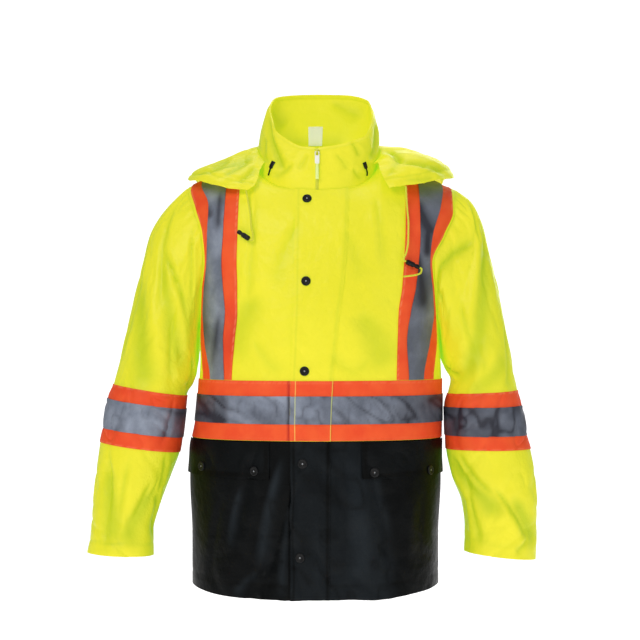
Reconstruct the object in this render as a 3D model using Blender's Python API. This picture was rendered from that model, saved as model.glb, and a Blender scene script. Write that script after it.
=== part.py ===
"""A hooded high-visibility rain jacket, filled out as if worn, with nobody in it.

Metres. +x is the wearer's left, -y is forward and +z is up. The origin is the middle of the neck
opening at shoulder height, where the wearer's shoulders carry the jacket.
"""

import math

import bpy
import numpy as np

# Cloth and what is sewn on it.
WALL = 0.0014  # coated shell cloth with its lining
SEAM_GAP = 0.0003
LAID_GAP = 0.0004  # between a panel and what lies on it
SLEEVE_GAP = 0.0008  # the sleeve turns away from the body at its seam
TAPE_THICK = 0.0008  # fluorescent backing of a tape
SILVER_THICK = 0.0006  # reflective strip on the backing
FLAP_THICK = 0.0016  # doubled cloth of the storm flap and the pocket flaps
FLAP_DROP = 0.0020  # the storm flap ends this far below the neck seam
POCKET_FLAP_DROP = 0.0012  # the pocket flaps start this far below the tape
HALF_ZIP = 0.0025  # half of the zip chain's width
ZIP_THICK = 0.0016
ZIP_STOP = 0.0040  # the chain ends this far below the collar's edge

# Heights on the body.
HEM_FRONT = -0.7360
HEM_SIDE = -0.7220
HEM_BACK = -0.7300
TAPE_BOTTOM = -0.4680  # 102 mm backing, as the black cloth starts
SILVER_BOTTOM = -0.4395
SILVER_TOP = -0.3925  # the silver is 47 mm high between its seams
TAPE_TOP = -0.3665
UNDERARM = -0.2900
ROLL_START = -0.1200  # above this the body rolls over to the shoulder seam
TABLE_TOP = -0.0300  # height in the tables that stands for the shoulder seam
ROLL_STEPS = 6
POCKET_FLAP_SHARE = 0.238  # how far down the black cloth the pocket flaps reach

SECTION_POWER = 2.3  # a plan section of the body is a little squarer than an ellipse
SIDE_STEPS = 4  # columns from the outer edge of the brace tape to the side or armhole
NECK_CORNER = 0.1075  # where neckline and shoulder seam meet
NECK_ROUND = 0.35  # how far the middle of the neck rolls over, against a straight slope
ZIP_DRIFT = 0.0100  # the zip line moves this far to the wearer's right, neck to hem

UPPER_HEIGHTS = (TAPE_BOTTOM, SILVER_BOTTOM, SILVER_TOP, TAPE_TOP, -0.330, UNDERARM,
                 -0.250, -0.210, -0.165, ROLL_START)
LOWER_SHARES = (0.0, POCKET_FLAP_SHARE, 0.42, 0.60, 0.80, 1.0)


def table(names, *rows):
    """A short table: each named column becomes an array with one value a row."""
    return dict(zip(names.split(), np.array(rows, float).T))


# Half width on the wearer's right and left, and depth to the front and back.
BODY = table("z right left front back",
             (-0.740, 0.2190, 0.2130, 0.152, 0.142),
             (-0.650, 0.2190, 0.2125, 0.151, 0.140),
             (-0.544, 0.2230, 0.2170, 0.149, 0.136),
             (-0.490, 0.2215, 0.2168, 0.147, 0.134),
             (-0.436, 0.2124, 0.2180, 0.145, 0.132),
             (-0.370, 0.2070, 0.2180, 0.146, 0.130),
             (-0.330, 0.2050, 0.2165, 0.147, 0.130),
             (-0.290, 0.2060, 0.2145, 0.147, 0.130),
             (-0.200, 0.2120, 0.2210, 0.142, 0.126),
             (-0.120, 0.2220, 0.2360, 0.132, 0.116),
             (-0.090, 0.2300, 0.2480, 0.130, 0.114),
             (-0.060, 0.2360, 0.2500, 0.130, 0.114),
             (-0.030, 0.2380, 0.2500, 0.130, 0.114))

# Distances from the middle of the lines that the front's columns follow.
FRONT_LINES = {
    "right": table("z flap pocket brace_in silver_in silver_out brace_out armhole",
                   (-0.737, 0.0453, 0.0800, 0.1460, 0.1600, 0.1840, 0.1990, 0.2190),
                   (-0.468, 0.0453, 0.0800, 0.1450, 0.1580, 0.1825, 0.1970, 0.2190),
                   (-0.366, 0.0443, 0.0800, 0.1444, 0.1570, 0.1817, 0.1962, 0.2190),
                   (-0.300, 0.0415, 0.0800, 0.1395, 0.1590, 0.1920, 0.2010, 0.2190),
                   (-0.250, 0.0395, 0.0800, 0.1350, 0.1555, 0.1950, 0.1995, 0.2035),
                   (-0.210, 0.0390, 0.0800, 0.1350, 0.1590, 0.1930, 0.1975, 0.2012),
                   (-0.165, 0.0385, 0.0800, 0.1362, 0.1620, 0.1880, 0.1922, 0.1958),
                   (-0.120, 0.0380, 0.0800, 0.1350, 0.1595, 0.1870, 0.1955, 0.1995),
                   (-0.090, 0.0378, 0.0800, 0.1332, 0.1565, 0.1850, 0.2085, 0.2130),
                   (-0.060, 0.0375, 0.0790, 0.1310, 0.1542, 0.1995, 0.2195, 0.2240),
                   (-0.030, 0.0370, 0.0780, 0.1290, 0.1520, 0.1990, 0.2140, 0.2260)),
    "left": table("z flap pocket brace_in silver_in silver_out brace_out armhole",
                  (-0.737, 0.0210, 0.0755, 0.1360, 0.1560, 0.1820, 0.2010, 0.2190),
                  (-0.468, 0.0225, 0.0750, 0.1350, 0.1550, 0.1810, 0.2000, 0.2190),
                  (-0.366, 0.0268, 0.0745, 0.1346, 0.1550, 0.1806, 0.1994, 0.2190),
                  (-0.300, 0.0335, 0.0760, 0.1362, 0.1516, 0.1920, 0.2060, 0.2190),
                  (-0.250, 0.0385, 0.0780, 0.1380, 0.1585, 0.1990, 0.2038, 0.2080),
                  (-0.210, 0.0440, 0.0790, 0.1440, 0.1670, 0.1965, 0.2005, 0.2045),
                  (-0.165, 0.0485, 0.0800, 0.1475, 0.1725, 0.1920, 0.1965, 0.2005),
                  (-0.120, 0.0518, 0.0800, 0.1500, 0.1755, 0.1965, 0.2165, 0.2205),
                  (-0.090, 0.0530, 0.0800, 0.1510, 0.1750, 0.2105, 0.2345, 0.2390),
                  (-0.060, 0.0540, 0.0800, 0.1516, 0.1735, 0.2175, 0.2345, 0.2400),
                  (-0.030, 0.0540, 0.0790, 0.1516, 0.1721, 0.2140, 0.2310, 0.2360)),
}

# The same for the back, alike on both sides below the shoulder.
BACK_LINES = table("z blade_in blade blade_out corner"
                   " brace_in silver_in silver_out brace_out armhole",
                   (-0.737, 0.018, 0.036, 0.053, 0.068, 0.0870, 0.1120, 0.1580, 0.1810, 0.2190),
                   (-0.366, 0.018, 0.036, 0.053, 0.068, 0.0850, 0.1100, 0.1560, 0.1790, 0.2190),
                   (-0.300, 0.018, 0.036, 0.053, 0.068, 0.0850, 0.1100, 0.1560, 0.1790, 0.2190),
                   (-0.250, 0.019, 0.037, 0.054, 0.070, 0.0865, 0.1110, 0.1570, 0.1795, 0.1965),
                   (-0.165, 0.020, 0.040, 0.059, 0.076, 0.0930, 0.1170, 0.1600, 0.1800, 0.1870),
                   (-0.120, 0.022, 0.044, 0.065, 0.084, 0.1010, 0.1250, 0.1660, 0.1835, 0.1905),
                   (-0.060, 0.026, 0.051, 0.075, 0.098, 0.1180, 0.1420, 0.1860, 0.2010, 0.2105),
                   (-0.030, 0.030, 0.058, 0.085, 0.1075, 0.1290, 0.1520, 0.1990, 0.2140, 0.2260))

# The neck opening, from the middle out to its corner at the shoulder seam.
NECK_FRONT = table("x y z",
                   (-0.020, -0.099, -0.0420), (0.000, -0.100, -0.0424), (0.037, -0.095, -0.0405),
                   (0.060, -0.085, -0.0360), (0.080, -0.068, -0.0280), (0.097, -0.038, -0.0120),
                   (NECK_CORNER, 0.010, 0.0100))
NECK_BACK = table("x y z",
                  (0.000, 0.085, 0.0320), (0.030, 0.082, 0.0312), (0.058, 0.072, 0.0285),
                  (0.085, 0.050, 0.0225), (NECK_CORNER, 0.010, 0.0100))
SHOULDER_SEAM = table("x y z",
                      (NECK_CORNER, 0.010, 0.0100), (0.150, 0.010, -0.0010), (0.190, 0.008, -0.0140),
                      (0.226, 0.005, -0.0300), (0.245, 0.004, -0.0340))

# Stand collar: from its seam on the neckline up to its top edge, front opening round to the back.
COLLAR_HEIGHTS = (0.0, 0.18, 0.40, 0.62, 0.82, 1.0)
COLLAR_TOP = {
    # around runs from 0 at the zip to 1 at the middle of the back
    "right": table("around x y z",
                   (0.00, 0.0030, -0.0880, 0.0318), (0.14, 0.0250, -0.0850, 0.0335),
                   (0.30, 0.0560, -0.0700, 0.0490), (0.42, 0.0755, -0.0500, 0.0680),
                   (0.56, 0.0870, -0.0050, 0.1080), (0.72, 0.0760, 0.0500, 0.1330),
                   (0.86, 0.0420, 0.0700, 0.1400), (1.00, 0.0000, 0.0760, 0.1420)),
    "left": table("around x y z",
                  (0.00, 0.0030, -0.0880, 0.0318), (0.14, 0.0260, -0.0860, 0.0350),
                  (0.30, 0.0640, -0.0740, 0.0450), (0.42, 0.0910, -0.0520, 0.0600),
                  (0.56, 0.1020, -0.0050, 0.0960), (0.72, 0.0960, 0.0500, 0.1260),
                  (0.86, 0.0560, 0.0700, 0.1400), (1.00, 0.0000, 0.0760, 0.1420)),
}
COLLAR_BULGE = 0.004  # how far the standing collar swells outwards half way up

# Sleeves, from the armhole to the cuff: the upper and lower outline seen from the front, half the
# thickness front to back, and how far forward the middle lies.
SLEEVE = {
    "right": table("top_x top_z low_x low_z half mid_y",
                   (0.2260, -0.0300, 0.2065, -0.2900, 0.070, 0.003),
                   (0.2620, -0.0630, 0.2120, -0.3060, 0.076, 0.002),
                   (0.2925, -0.1110, 0.2160, -0.3260, 0.079, 0.000),
                   (0.3080, -0.1720, 0.2190, -0.3450, 0.080, -0.003),
                   (0.3250, -0.2400, 0.2215, -0.3600, 0.079, -0.006),
                   (0.3420, -0.3100, 0.2250, -0.3760, 0.077, -0.009),
                   (0.3565, -0.3754, 0.2285, -0.3956, 0.074, -0.012),
                   (0.3651, -0.4000, 0.2310, -0.4192, 0.073, -0.014),
                   (0.3738, -0.4510, 0.2365, -0.4682, 0.071, -0.018),
                   (0.3790, -0.4757, 0.2405, -0.4939, 0.070, -0.020),
                   (0.3870, -0.5350, 0.2535, -0.5300, 0.067, -0.024),
                   (0.3920, -0.5900, 0.2720, -0.5800, 0.062, -0.028),
                   (0.3942, -0.6340, 0.2850, -0.6250, 0.057, -0.031),
                   (0.4003, -0.6670, 0.2842, -0.6720, 0.054, -0.034)),
    "left": table("top_x top_z low_x low_z half mid_y",
                  (0.2360, -0.0310, 0.2150, -0.2900, 0.070, 0.003),
                  (0.2690, -0.0530, 0.2215, -0.3060, 0.074, 0.002),
                  (0.2880, -0.0900, 0.2270, -0.3230, 0.078, 0.000),
                  (0.3010, -0.1450, 0.2310, -0.3390, 0.080, -0.003),
                  (0.3190, -0.2140, 0.2345, -0.3530, 0.079, -0.006),
                  (0.3360, -0.3000, 0.2375, -0.3690, 0.077, -0.009),
                  (0.3510, -0.3865, 0.2330, -0.3925, 0.074, -0.012),
                  (0.3565, -0.4136, 0.2260, -0.4154, 0.073, -0.014),
                  (0.3662, -0.4646, 0.2250, -0.4640, 0.071, -0.018),
                  (0.3712, -0.4884, 0.2255, -0.4880, 0.070, -0.020),
                  (0.3800, -0.5400, 0.2350, -0.5340, 0.067, -0.024),
                  (0.3840, -0.5900, 0.2520, -0.5800, 0.062, -0.028),
                  (0.3836, -0.6350, 0.2570, -0.6220, 0.057, -0.031),
                  (0.3800, -0.6790, 0.2555, -0.6650, 0.054, -0.034)),
}
SLEEVE_STATIONS = (0, 0.35, 0.8, 1.3, 2, 2.7, 3.4, 4.2, 5, 6, 7, 8, 9, 9.7, 10.5, 11.3, 12.1, 13)
SLEEVE_TAPE = {"tape_top": 9, "silver_top": 10, "silver_bottom": 11, "tape_bottom": 12}
HEAD_LENGTH = 4.5  # stations over which the armhole's outline turns into the sleeve's own

# Hood, laid back over the shoulders: sections from the collar seam out to the rim, front corner
# round to the middle of the back. Right side; the left is wider by WING_WIDEN.
HOOD = table("around crown_x crown_y crown_z fold_x fold_y fold_z"
             " face_x face_y face_z rim_x rim_y rim_z",
             (0.00, 0.105, -0.064, -0.006, 0.111, -0.082, -0.020,
              0.117, -0.098, -0.034, 0.1210, -0.1080, -0.0430),
             (0.14, 0.124, -0.046, 0.013, 0.143, -0.072, -0.004,
              0.158, -0.096, -0.023, 0.1650, -0.1050, -0.0350),
             (0.27, 0.140, -0.020, 0.022, 0.172, -0.042, 0.009,
              0.194, -0.068, -0.009, 0.2020, -0.0800, -0.0250),
             (0.39, 0.148, 0.014, 0.0265, 0.190, 0.010, 0.008,
              0.217, -0.006, -0.007, 0.2250, -0.0250, -0.0190),
             (0.52, 0.138, 0.062, 0.020, 0.180, 0.080, -0.022,
              0.214, 0.084, -0.022, 0.2140, 0.0640, -0.0080),
             (0.66, 0.108, 0.104, -0.006, 0.148, 0.138, -0.100,
              0.176, 0.150, -0.060, 0.1680, 0.1400, -0.0100),
             (0.82, 0.060, 0.128, -0.046, 0.086, 0.162, -0.188,
              0.108, 0.190, -0.110, 0.1000, 0.1850, -0.0200),
             (1.00, 0.000, 0.134, -0.064, 0.000, 0.170, -0.226,
              0.000, 0.206, -0.130, 0.0000, 0.2000, -0.0280))
HOOD_STEPS = (0.0, 0.12, 0.26, 0.42, 0.58, 0.74, 0.88, 1.0)
HOOD_FIRST = 5  # collar column, counted from the zip, where the hood's seam starts
HOOD_SEAM_LOW, HOOD_SEAM_HIGH = 0.30, 0.18  # height of the seam on the collar, side and back
WING_WIDEN = 1.055
WING_LIFT = 0.004
HOOD_SEAM_GAP = 0.0017
HOOD_CLEAR = 0.0034  # least distance from the body

# Snaps on the storm flap and on the pocket flaps: distance from the middle, and height.
SNAP_RADIUS = 0.0080
SNAP_THICK = 0.0024
SNAP_PROFILE = ((0.94, 0.0), (1.0, 0.35), (0.9, 1.0), (0.72, 1.0), (0.62, 0.6), (0.2, 0.8))
FLAP_SNAPS = table("x z", (-0.0168, -0.059), (-0.0185, -0.1986), (-0.0210, -0.3500),
                   (-0.0242, -0.5056), (-0.0277, -0.6633))
POCKET_SNAPS = {"right": table("x z", (0.1046, -0.5186), (0.1960, -0.5144)),
                "left": table("x z", (0.0968, -0.5210), (0.1925, -0.5213))}

# The neck label's edges on the inside of the collar.
LABEL_LOW, LABEL_HIGH = 0.0510, 0.0850
LABEL_LEFT, LABEL_RIGHT = -0.0160, 0.0095
LABEL_THICK = 0.0010
TAB_COLUMNS = (4.25, 4.55)  # the black tabs' sides in collar columns, counted from the zip
TAB_HEIGHTS = (0.20, 0.32, 0.44)  # shares of the collar's height
TAB_LOW, TAB_HIGH = 0.0012, 0.0028  # the black tabs' faces over the collar

# The zip's slider at the top of the chain, and its pull.
SLIDER_HEIGHT = 0.0225
SLIDER_LIFT = 0.0009  # the slider's back above the chain's face
SLIDER_SIZE = (0.0090, 0.0030, 0.0115)  # across, out and up
BRIDGE_WIDTH = 0.0022
BRIDGE_ARM = 0.0042  # half of the bridge's height
BRIDGE_REACH = 0.0046  # how far the bridge stands out from the slider's face
BRIDGE_BAR = 0.0012
PULL_BAR = 0.0011
PULL_WIDTH = 0.0078
PULL_LENGTH = 0.0215
EYE_WIDTH, EYE_LENGTH = 0.0050, 0.0066  # hole at the pull's top, for the bridge
PULL_PLAY = 0.0006  # between the pull's top bar and the bridge
HINGE_DROP = 0.0008  # the pull hangs this far below the middle of the bridge
TAIL_LENGTH = 0.0270
TAIL_WIDTH = 0.0052

CORD_DIAMETER = 0.0032
LOCK_RADIUS = 0.0044
# Barrel and push button of a cord lock: shares of its radius and of its length.
LOCK_PROFILE = ((0.62, 0.0), (1.0, 0.08), (1.0, 0.56), (0.70, 0.60), (0.70, 0.72),
                (0.86, 0.76), (0.80, 0.95), (0.45, 1.0))
# Routes of the drawcords by hand: from the hood's front corners to their locks, and on to the ends.
CORD_ROUTES = {
    "drawcord_right": ((-0.1207, -0.1078, -0.0437), (-0.1175, -0.1125, -0.0600),
                       (-0.1130, -0.1200, -0.0850), (-0.1110, -0.1250, -0.1080),
                       (-0.1082, -0.1280, -0.1210), (-0.1085, -0.1295, -0.1290),
                       (-0.1118, -0.1292, -0.1302), (-0.1136, -0.1278, -0.1282)),
    "drawcord_left": ((0.1510, -0.1070, -0.0363), (0.1528, -0.1098, -0.0700),
                      (0.1550, -0.1160, -0.1000), (0.1545, -0.1190, -0.1300),
                      (0.1505, -0.1215, -0.1520), (0.1468, -0.1232, -0.1600),
                      (0.1472, -0.1233, -0.1636), (0.1502, -0.1219, -0.1648)),
    "drawcord_left_end": ((0.1745, -0.1105, -0.1752), (0.1778, -0.1091, -0.1770),
                          (0.1765, -0.1120, -0.1835), (0.1700, -0.1162, -0.1870),
                          (0.1590, -0.1205, -0.1890), (0.1465, -0.1245, -0.1905)),
}
LOCKS = {
    "cord_lock_right": ((-0.1145, -0.1272, -0.1272), (-0.1345, -0.1215, -0.1135)),
    "cord_lock_left": ((0.1512, -0.1214, -0.1652), (0.1735, -0.1110, -0.1748)),
}

# Largest folds: troughs (depth below zero) and ridges, as soft lines from one end to the other.
# On the body a line's ends are distances to the wearer's left and heights, on the side named.
BODY_FOLDS = (
    # front, x, z, to x, to z, half width, depth
    (True, -0.060, -0.560, -0.130, -0.730, 0.022, -0.0050),
    (True, -0.105, -0.560, -0.165, -0.735, 0.020, 0.0040),
    (True, 0.060, -0.600, 0.100, -0.735, 0.024, -0.0040),
    (True, 0.150, -0.540, 0.165, -0.730, 0.022, 0.0035),
    (True, -0.100, -0.220, -0.150, -0.330, 0.024, -0.0045),
    (True, 0.070, -0.250, 0.120, -0.345, 0.024, -0.0040),
    (False, -0.070, -0.300, -0.020, -0.430, 0.026, -0.0050),
    (False, 0.110, -0.260, 0.060, -0.400, 0.026, -0.0045),
    (False, -0.120, -0.560, -0.140, -0.730, 0.024, -0.0045),
    (False, 0.020, -0.580, 0.030, -0.730, 0.026, -0.0040),
    (False, 0.130, -0.560, 0.150, -0.730, 0.024, 0.0040),
)
# On a sleeve a line's ends are stations (armhole 0, cuff 13) and turns (0 under the arm,
# a quarter in front, a half on top).
SLEEVE_FOLDS = {
    "right": (
        # station, turn, to station, to turn, half width, depth
        (3.2, 0.42, 6.0, 0.24, 0.020, -0.0060),
        (2.0, 0.34, 4.4, 0.12, 0.018, -0.0050),
        (9.6, 0.38, 12.6, 0.26, 0.018, -0.0060),
        (10.4, 0.12, 12.6, 0.22, 0.018, -0.0055),
        (4.0, 0.62, 6.0, 0.82, 0.022, -0.0055),
        (9.8, 0.70, 11.6, 0.88, 0.020, -0.0055),
    ),
    "left": (
        (2.2, 0.44, 5.4, 0.10, 0.020, -0.0065),
        (5.2, 0.40, 6.0, 0.16, 0.016, -0.0040),
        (9.4, 0.06, 11.4, 0.24, 0.018, -0.0060),
        (10.6, 0.30, 12.4, 0.44, 0.018, -0.0060),
        (3.8, 0.60, 6.0, 0.84, 0.022, -0.0055),
        (9.6, 0.66, 11.8, 0.90, 0.020, -0.0055),
    ),
}

COLOURS = {
    # sRGB, roughness, metallic
    "yellow_cloth": ((0.90, 0.91, 0.17), 0.50, 0.0),
    "black_cloth": ((0.055, 0.065, 0.080), 0.55, 0.0),
    "orange_tape": ((0.94, 0.33, 0.15), 0.60, 0.0),
    "silver_tape": ((0.58, 0.60, 0.65), 0.35, 0.2),
    "black_plastic": ((0.03, 0.03, 0.035), 0.35, 0.0),
    "yellow_cord": ((0.84, 0.86, 0.20), 0.60, 0.0),
    "zip_plastic": ((0.80, 0.83, 0.30), 0.40, 0.0),
    "white_label": ((0.92, 0.92, 0.88), 0.60, 0.0),
}


def smooth_read(at, knots, values):
    """Reads the curve through (knots, values) with no overshoot between its points."""
    step = np.diff(knots)
    rise = np.diff(values) / step
    both = rise[:-1] * rise[1:] > 0
    total = np.where(both, rise[:-1] + rise[1:], 1.0)
    inner = np.where(both, 2 * rise[:-1] * rise[1:] / total, 0.0)
    slope = np.concatenate([rise[:1], inner, rise[-1:]])
    at = np.clip(at, knots[0], knots[-1])
    i = np.clip(np.searchsorted(knots, at, side="right") - 1, 0, len(step) - 1)
    s = (at - knots[i]) / step[i]
    near = values[i] * (1 + 2 * s) * (1 - s) ** 2 + slope[i] * step[i] * s * (1 - s) ** 2
    far = values[i + 1] * s * s * (3 - 2 * s) + slope[i + 1] * step[i] * s * s * (s - 1)
    return near + far


def read(rows, key, name, at):
    return smooth_read(np.asarray(at, float), rows[key], rows[name])


def unit(vectors):
    return vectors / np.maximum(np.linalg.norm(vectors, axis=-1, keepdims=True), 1e-12)


def run_along(points):
    """Distance along a line of points, from its first to each one."""
    return np.concatenate([[0], np.cumsum(np.linalg.norm(np.diff(points, axis=0), axis=1))])


def smooth_step(share):
    share = np.clip(share, 0, 1)
    return share * share * (3 - 2 * share)


def turn_of(x, half):
    """The angle round a body section, zero at its middle, of the place x."""
    share = np.clip(np.abs(x) / half, 0, 1)
    return np.sign(x) * np.arcsin(share ** (SECTION_POWER / 2))


def section(turn, half, depth):
    """Distance to the side and depth on a body section at an angle."""
    x = np.sign(turn) * half * np.abs(np.sin(turn)) ** (2 / SECTION_POWER)
    return x, depth * np.clip(np.cos(turn), 0, 1) ** (2 / SECTION_POWER)


def zip_line(z):
    return -ZIP_DRIFT * (NECK_FRONT["z"][1] - z) / (NECK_FRONT["z"][1] - HEM_FRONT)


def fold_depth(across, up, lines):
    """Sum of soft troughs and ridges at places (across, up), each a line that fades at its ends."""
    total = np.zeros(np.shape(across))
    for from_x, from_z, to_x, to_z, width, depth in lines:
        run = np.array([to_x - from_x, to_z - from_z])
        length = np.hypot(*run)
        run /= length
        here_x, here_z = across - from_x, up - from_z
        along = (here_x * run[0] + here_z * run[1]) / length
        aside = here_x * run[1] - here_z * run[0]
        fade = smooth_step(along * 4 + 0.5) * smooth_step((1 - along) * 4 + 0.5)
        total = total + depth * np.exp(-((aside / width) ** 2)) * fade
    return total


def front_columns(side, z):
    """Places of the front's columns at table height z, from the zip out, before those at the side."""
    lines = FRONT_LINES[side]
    sign = 1 if side == "left" else -1
    zip_edge = sign * zip_line(z) + HALF_ZIP + SEAM_GAP
    flap, pocket = read(lines, "z", "flap", z), read(lines, "z", "pocket", z)
    corner = np.full(np.shape(z), NECK_CORNER)
    named = [zip_edge, (zip_edge + flap) / 2, flap, (flap + pocket) / 2, pocket,
             (pocket + corner) / 2 + 0.003, corner]
    return named + [read(lines, "z", name, z) for name in FRONT_NAMES[-4:]]


FRONT_NAMES = ("zip", "flap_middle", "flap", "chest", "pocket", "chest_out", "corner",
               "brace_in", "silver_in", "silver_out", "brace_out")
BACK_NAMES = ("middle", "blade_in", "blade", "blade_out", "corner",
              "brace_in", "silver_in", "silver_out", "brace_out")


def back_columns(side, z, rolled):
    """The same for the back, from its middle out; `rolled` runs 0 to 1 up the shoulder."""
    top = {"corner": NECK_CORNER}
    for name in BACK_NAMES[5:]:
        top[name] = FRONT_LINES[side][name][-1]
    columns = [np.zeros(np.shape(z))]
    for name in BACK_NAMES[1:]:
        line = read(BACK_LINES, "z", name, z)
        columns.append(line + (top.get(name, line[-1]) - line[-1]) * rolled**2)
    return columns


def top_line(x, front):
    """Neckline, then shoulder seam: depth and height over the distance from the middle."""
    neck = NECK_FRONT if front else NECK_BACK
    on_neck = np.abs(x) <= NECK_CORNER
    depth = np.where(on_neck, read(neck, "x", "y", x), read(SHOULDER_SEAM, "x", "y", x))
    height = np.where(on_neck, read(neck, "x", "z", x), read(SHOULDER_SEAM, "x", "z", x))
    return depth, height


def hem_height(turn, front):
    middle = HEM_FRONT if front else HEM_BACK
    return middle + (HEM_SIDE - middle) * np.abs(np.sin(turn)) ** 3


def edge_line(side, front, z):
    """Distance of the armhole's edge from the middle."""
    lines = FRONT_LINES[side] if front else BACK_LINES
    line = read(lines, "z", "armhole", z)
    if front:
        return line
    rise = np.clip((np.asarray(z) - ROLL_START) / (TABLE_TOP - ROLL_START), 0, 1)
    return line + (FRONT_LINES[side]["armhole"][-1] - BACK_LINES["armhole"][-1]) * rise**2


def body_grid(side, front, part):
    """Points of half a front or of half the back, rows from low to high, columns from the middle."""
    sign = 1 if side == "left" else -1
    roll = np.arange(1, ROLL_STEPS + 1) / ROLL_STEPS
    if part == "upper":
        heights = np.concatenate([UPPER_HEIGHTS, ROLL_START + (TABLE_TOP - ROLL_START) * roll])
        rolled = np.concatenate([np.zeros(len(UPPER_HEIGHTS)), roll])
    else:
        heights = TAPE_BOTTOM + (HEM_FRONT - TAPE_BOTTOM) * np.array(LOWER_SHARES[::-1])
        rolled = np.zeros(len(heights))
    half = read(BODY, "z", side, heights)
    depth = read(BODY, "z", "front" if front else "back", np.minimum(heights, ROLL_START))
    columns = front_columns(side, heights) if front else back_columns(side, heights, rolled)
    turns = [turn_of(column, half) for column in columns]
    edge = edge_line(side, front, heights)
    last = np.where(heights > UNDERARM + 1e-6, turn_of(edge, half), math.pi / 2)
    for step in range(1, SIDE_STEPS + 1):
        turns.append(turns[len(columns) - 1] * (1 - step / SIDE_STEPS) + last * step / SIDE_STEPS)
    turn = np.array(turns).T
    x, y = section(turn, half[:, None], depth[:, None])
    z = np.repeat(heights[:, None], turn.shape[1], axis=1)
    if part == "lower":
        share = (z - TAPE_BOTTOM) / (HEM_FRONT - TAPE_BOTTOM)
        z = TAPE_BOTTOM + (hem_height(turn, front) - TAPE_BOTTOM) * share
    y = -y if front else y
    if part == "upper":
        seam_y, seam_z = top_line(x[-1], front)
        rolling = rolled[:, None]
        share = np.clip(np.abs(x[-1]) / NECK_CORNER, 0, 1)
        round_over = NECK_ROUND + (1 - NECK_ROUND) * share**2
        rise = round_over * np.sin(rolling * math.pi / 2) + (1 - round_over) * rolling
        ease = round_over * np.cos(rolling * math.pi / 2) + (1 - round_over) * (1 - rolling)
        y = seam_y + (y - seam_y) * ease
        z = np.where(rolling > 0, ROLL_START + (seam_z - ROLL_START) * rise, z)
    points = np.stack([sign * x, y, z], axis=-1)
    lines = [fold[1:] for fold in BODY_FOLDS if fold[0] == front]
    swell = fold_depth(points[..., 0], points[..., 2], lines) * np.cos(np.clip(turn, 0, math.pi / 2))
    return points + swell[..., None] * np.array([0, -1 if front else 1, 0])


def grid_normals(points, middle, ring=False):
    """Unit normals of a grid of points, facing away from `middle`, one place for each point."""
    down = np.gradient(points, axis=0)
    if ring:
        across = (np.roll(points, -1, axis=1) - np.roll(points, 1, axis=1)) / 2
    else:
        across = np.gradient(points, axis=1)
    normals = unit(np.cross(across, down))
    outward = np.sum(normals * (points - middle), axis=-1)
    return normals if np.sum(outward) > 0 else -normals


def trimmed(points, first_row=0.0, last_row=0.0, first_column=0.0, last_column=0.0):
    """The grid with its edges drawn in by the given distances, each towards its neighbour."""
    points = points.copy()
    for gap, edge, near in ((first_row, points[0], points[1]), (last_row, points[-1], points[-2])):
        edge += unit(near - edge) * gap
    for gap, edge, near in ((first_column, points[:, 0], points[:, 1]),
                            (last_column, points[:, -1], points[:, -2])):
        edge += unit(near - edge) * gap
    return points


def material(colour):
    found = bpy.data.materials.get(colour)
    if found:
        return found
    rgb, roughness, metallic = COLOURS[colour]
    made = bpy.data.materials.new(colour)
    made.use_nodes = True
    shader = made.node_tree.nodes["Principled BSDF"]
    shader.inputs["Base Color"].default_value = (*[channel**2.2 for channel in rgb], 1.0)
    shader.inputs["Roughness"].default_value = roughness
    shader.inputs["Metallic"].default_value = metallic
    return made


def add_object(name, mesh, colour, smooth_angle=40):
    made = bpy.data.objects.new(name, mesh)
    bpy.context.collection.objects.link(made)
    mesh.materials.append(material(colour))
    mesh.shade_smooth()
    mesh.set_sharp_from_angle(angle=math.radians(smooth_angle))
    return made


def add_solid(name, points, faces, colour):
    """An object from points and triangles, turned to face out."""
    corners = points[faces]
    volume = np.sum(np.cross(corners[:, 0], corners[:, 1]) * corners[:, 2])
    if volume < 0:
        faces = faces[:, ::-1]
    mesh = bpy.data.meshes.new(name)
    mesh.from_pydata(points.tolist(), [], faces.tolist())
    return add_object(name, mesh, colour)


def strip_faces(near, far):
    """Triangles between two lines of point numbers."""
    a, b, c, d = near[:-1], near[1:], far[1:], far[:-1]
    return np.concatenate([np.stack([a, b, c], axis=1), np.stack([a, c, d], axis=1)])


def sheet_faces(number, first):
    """Triangles of a grid of point numbers; `first` says which diagonal each quad is cut along."""
    a, b, c, d = number[:-1, :-1], number[:-1, 1:], number[1:, 1:], number[1:, :-1]
    one = np.where(first[..., None], np.stack([a, b, c], axis=-1), np.stack([a, b, d], axis=-1))
    other = np.where(first[..., None], np.stack([a, c, d], axis=-1), np.stack([b, c, d], axis=-1))
    return np.concatenate([one.reshape(-1, 3), other.reshape(-1, 3)])


def outer_diagonal(points, normals):
    """True where a quad's first diagonal lies further out, so that laid pieces fold as panels do."""
    first = points[:-1, :-1] + points[1:, 1:]
    second = points[:-1, 1:] + points[1:, :-1]
    facing = normals[:-1, :-1] + normals[1:, 1:] + normals[:-1, 1:] + normals[1:, :-1]
    return np.sum((first - second) * facing, axis=-1) > 0


def add_wall(name, points, normals, low, high, colour, ring=False):
    """A closed wall over a grid: from `low` to `high` along the normals; a ring joins its sides."""
    rows, columns = points.shape[:2]
    both = np.concatenate([points + normals * high, points + normals * low]).reshape(-1, 3)
    number = np.arange(rows * columns).reshape(rows, columns)
    if ring:
        number = np.concatenate([number, number[:, :1]], axis=1)
        points = np.concatenate([points, points[:, :1]], axis=1)
        normals = np.concatenate([normals, normals[:, :1]], axis=1)
    under = number + rows * columns
    first = outer_diagonal(points, normals)
    faces = [sheet_faces(number, first), sheet_faces(under, first)[:, ::-1],
             strip_faces(under[0], number[0]), strip_faces(number[-1], under[-1])]
    if not ring:
        faces += [strip_faces(number[:, 0], under[:, 0]), strip_faces(under[:, -1], number[:, -1])]
    return add_solid(name, both, np.concatenate(faces), colour)


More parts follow.
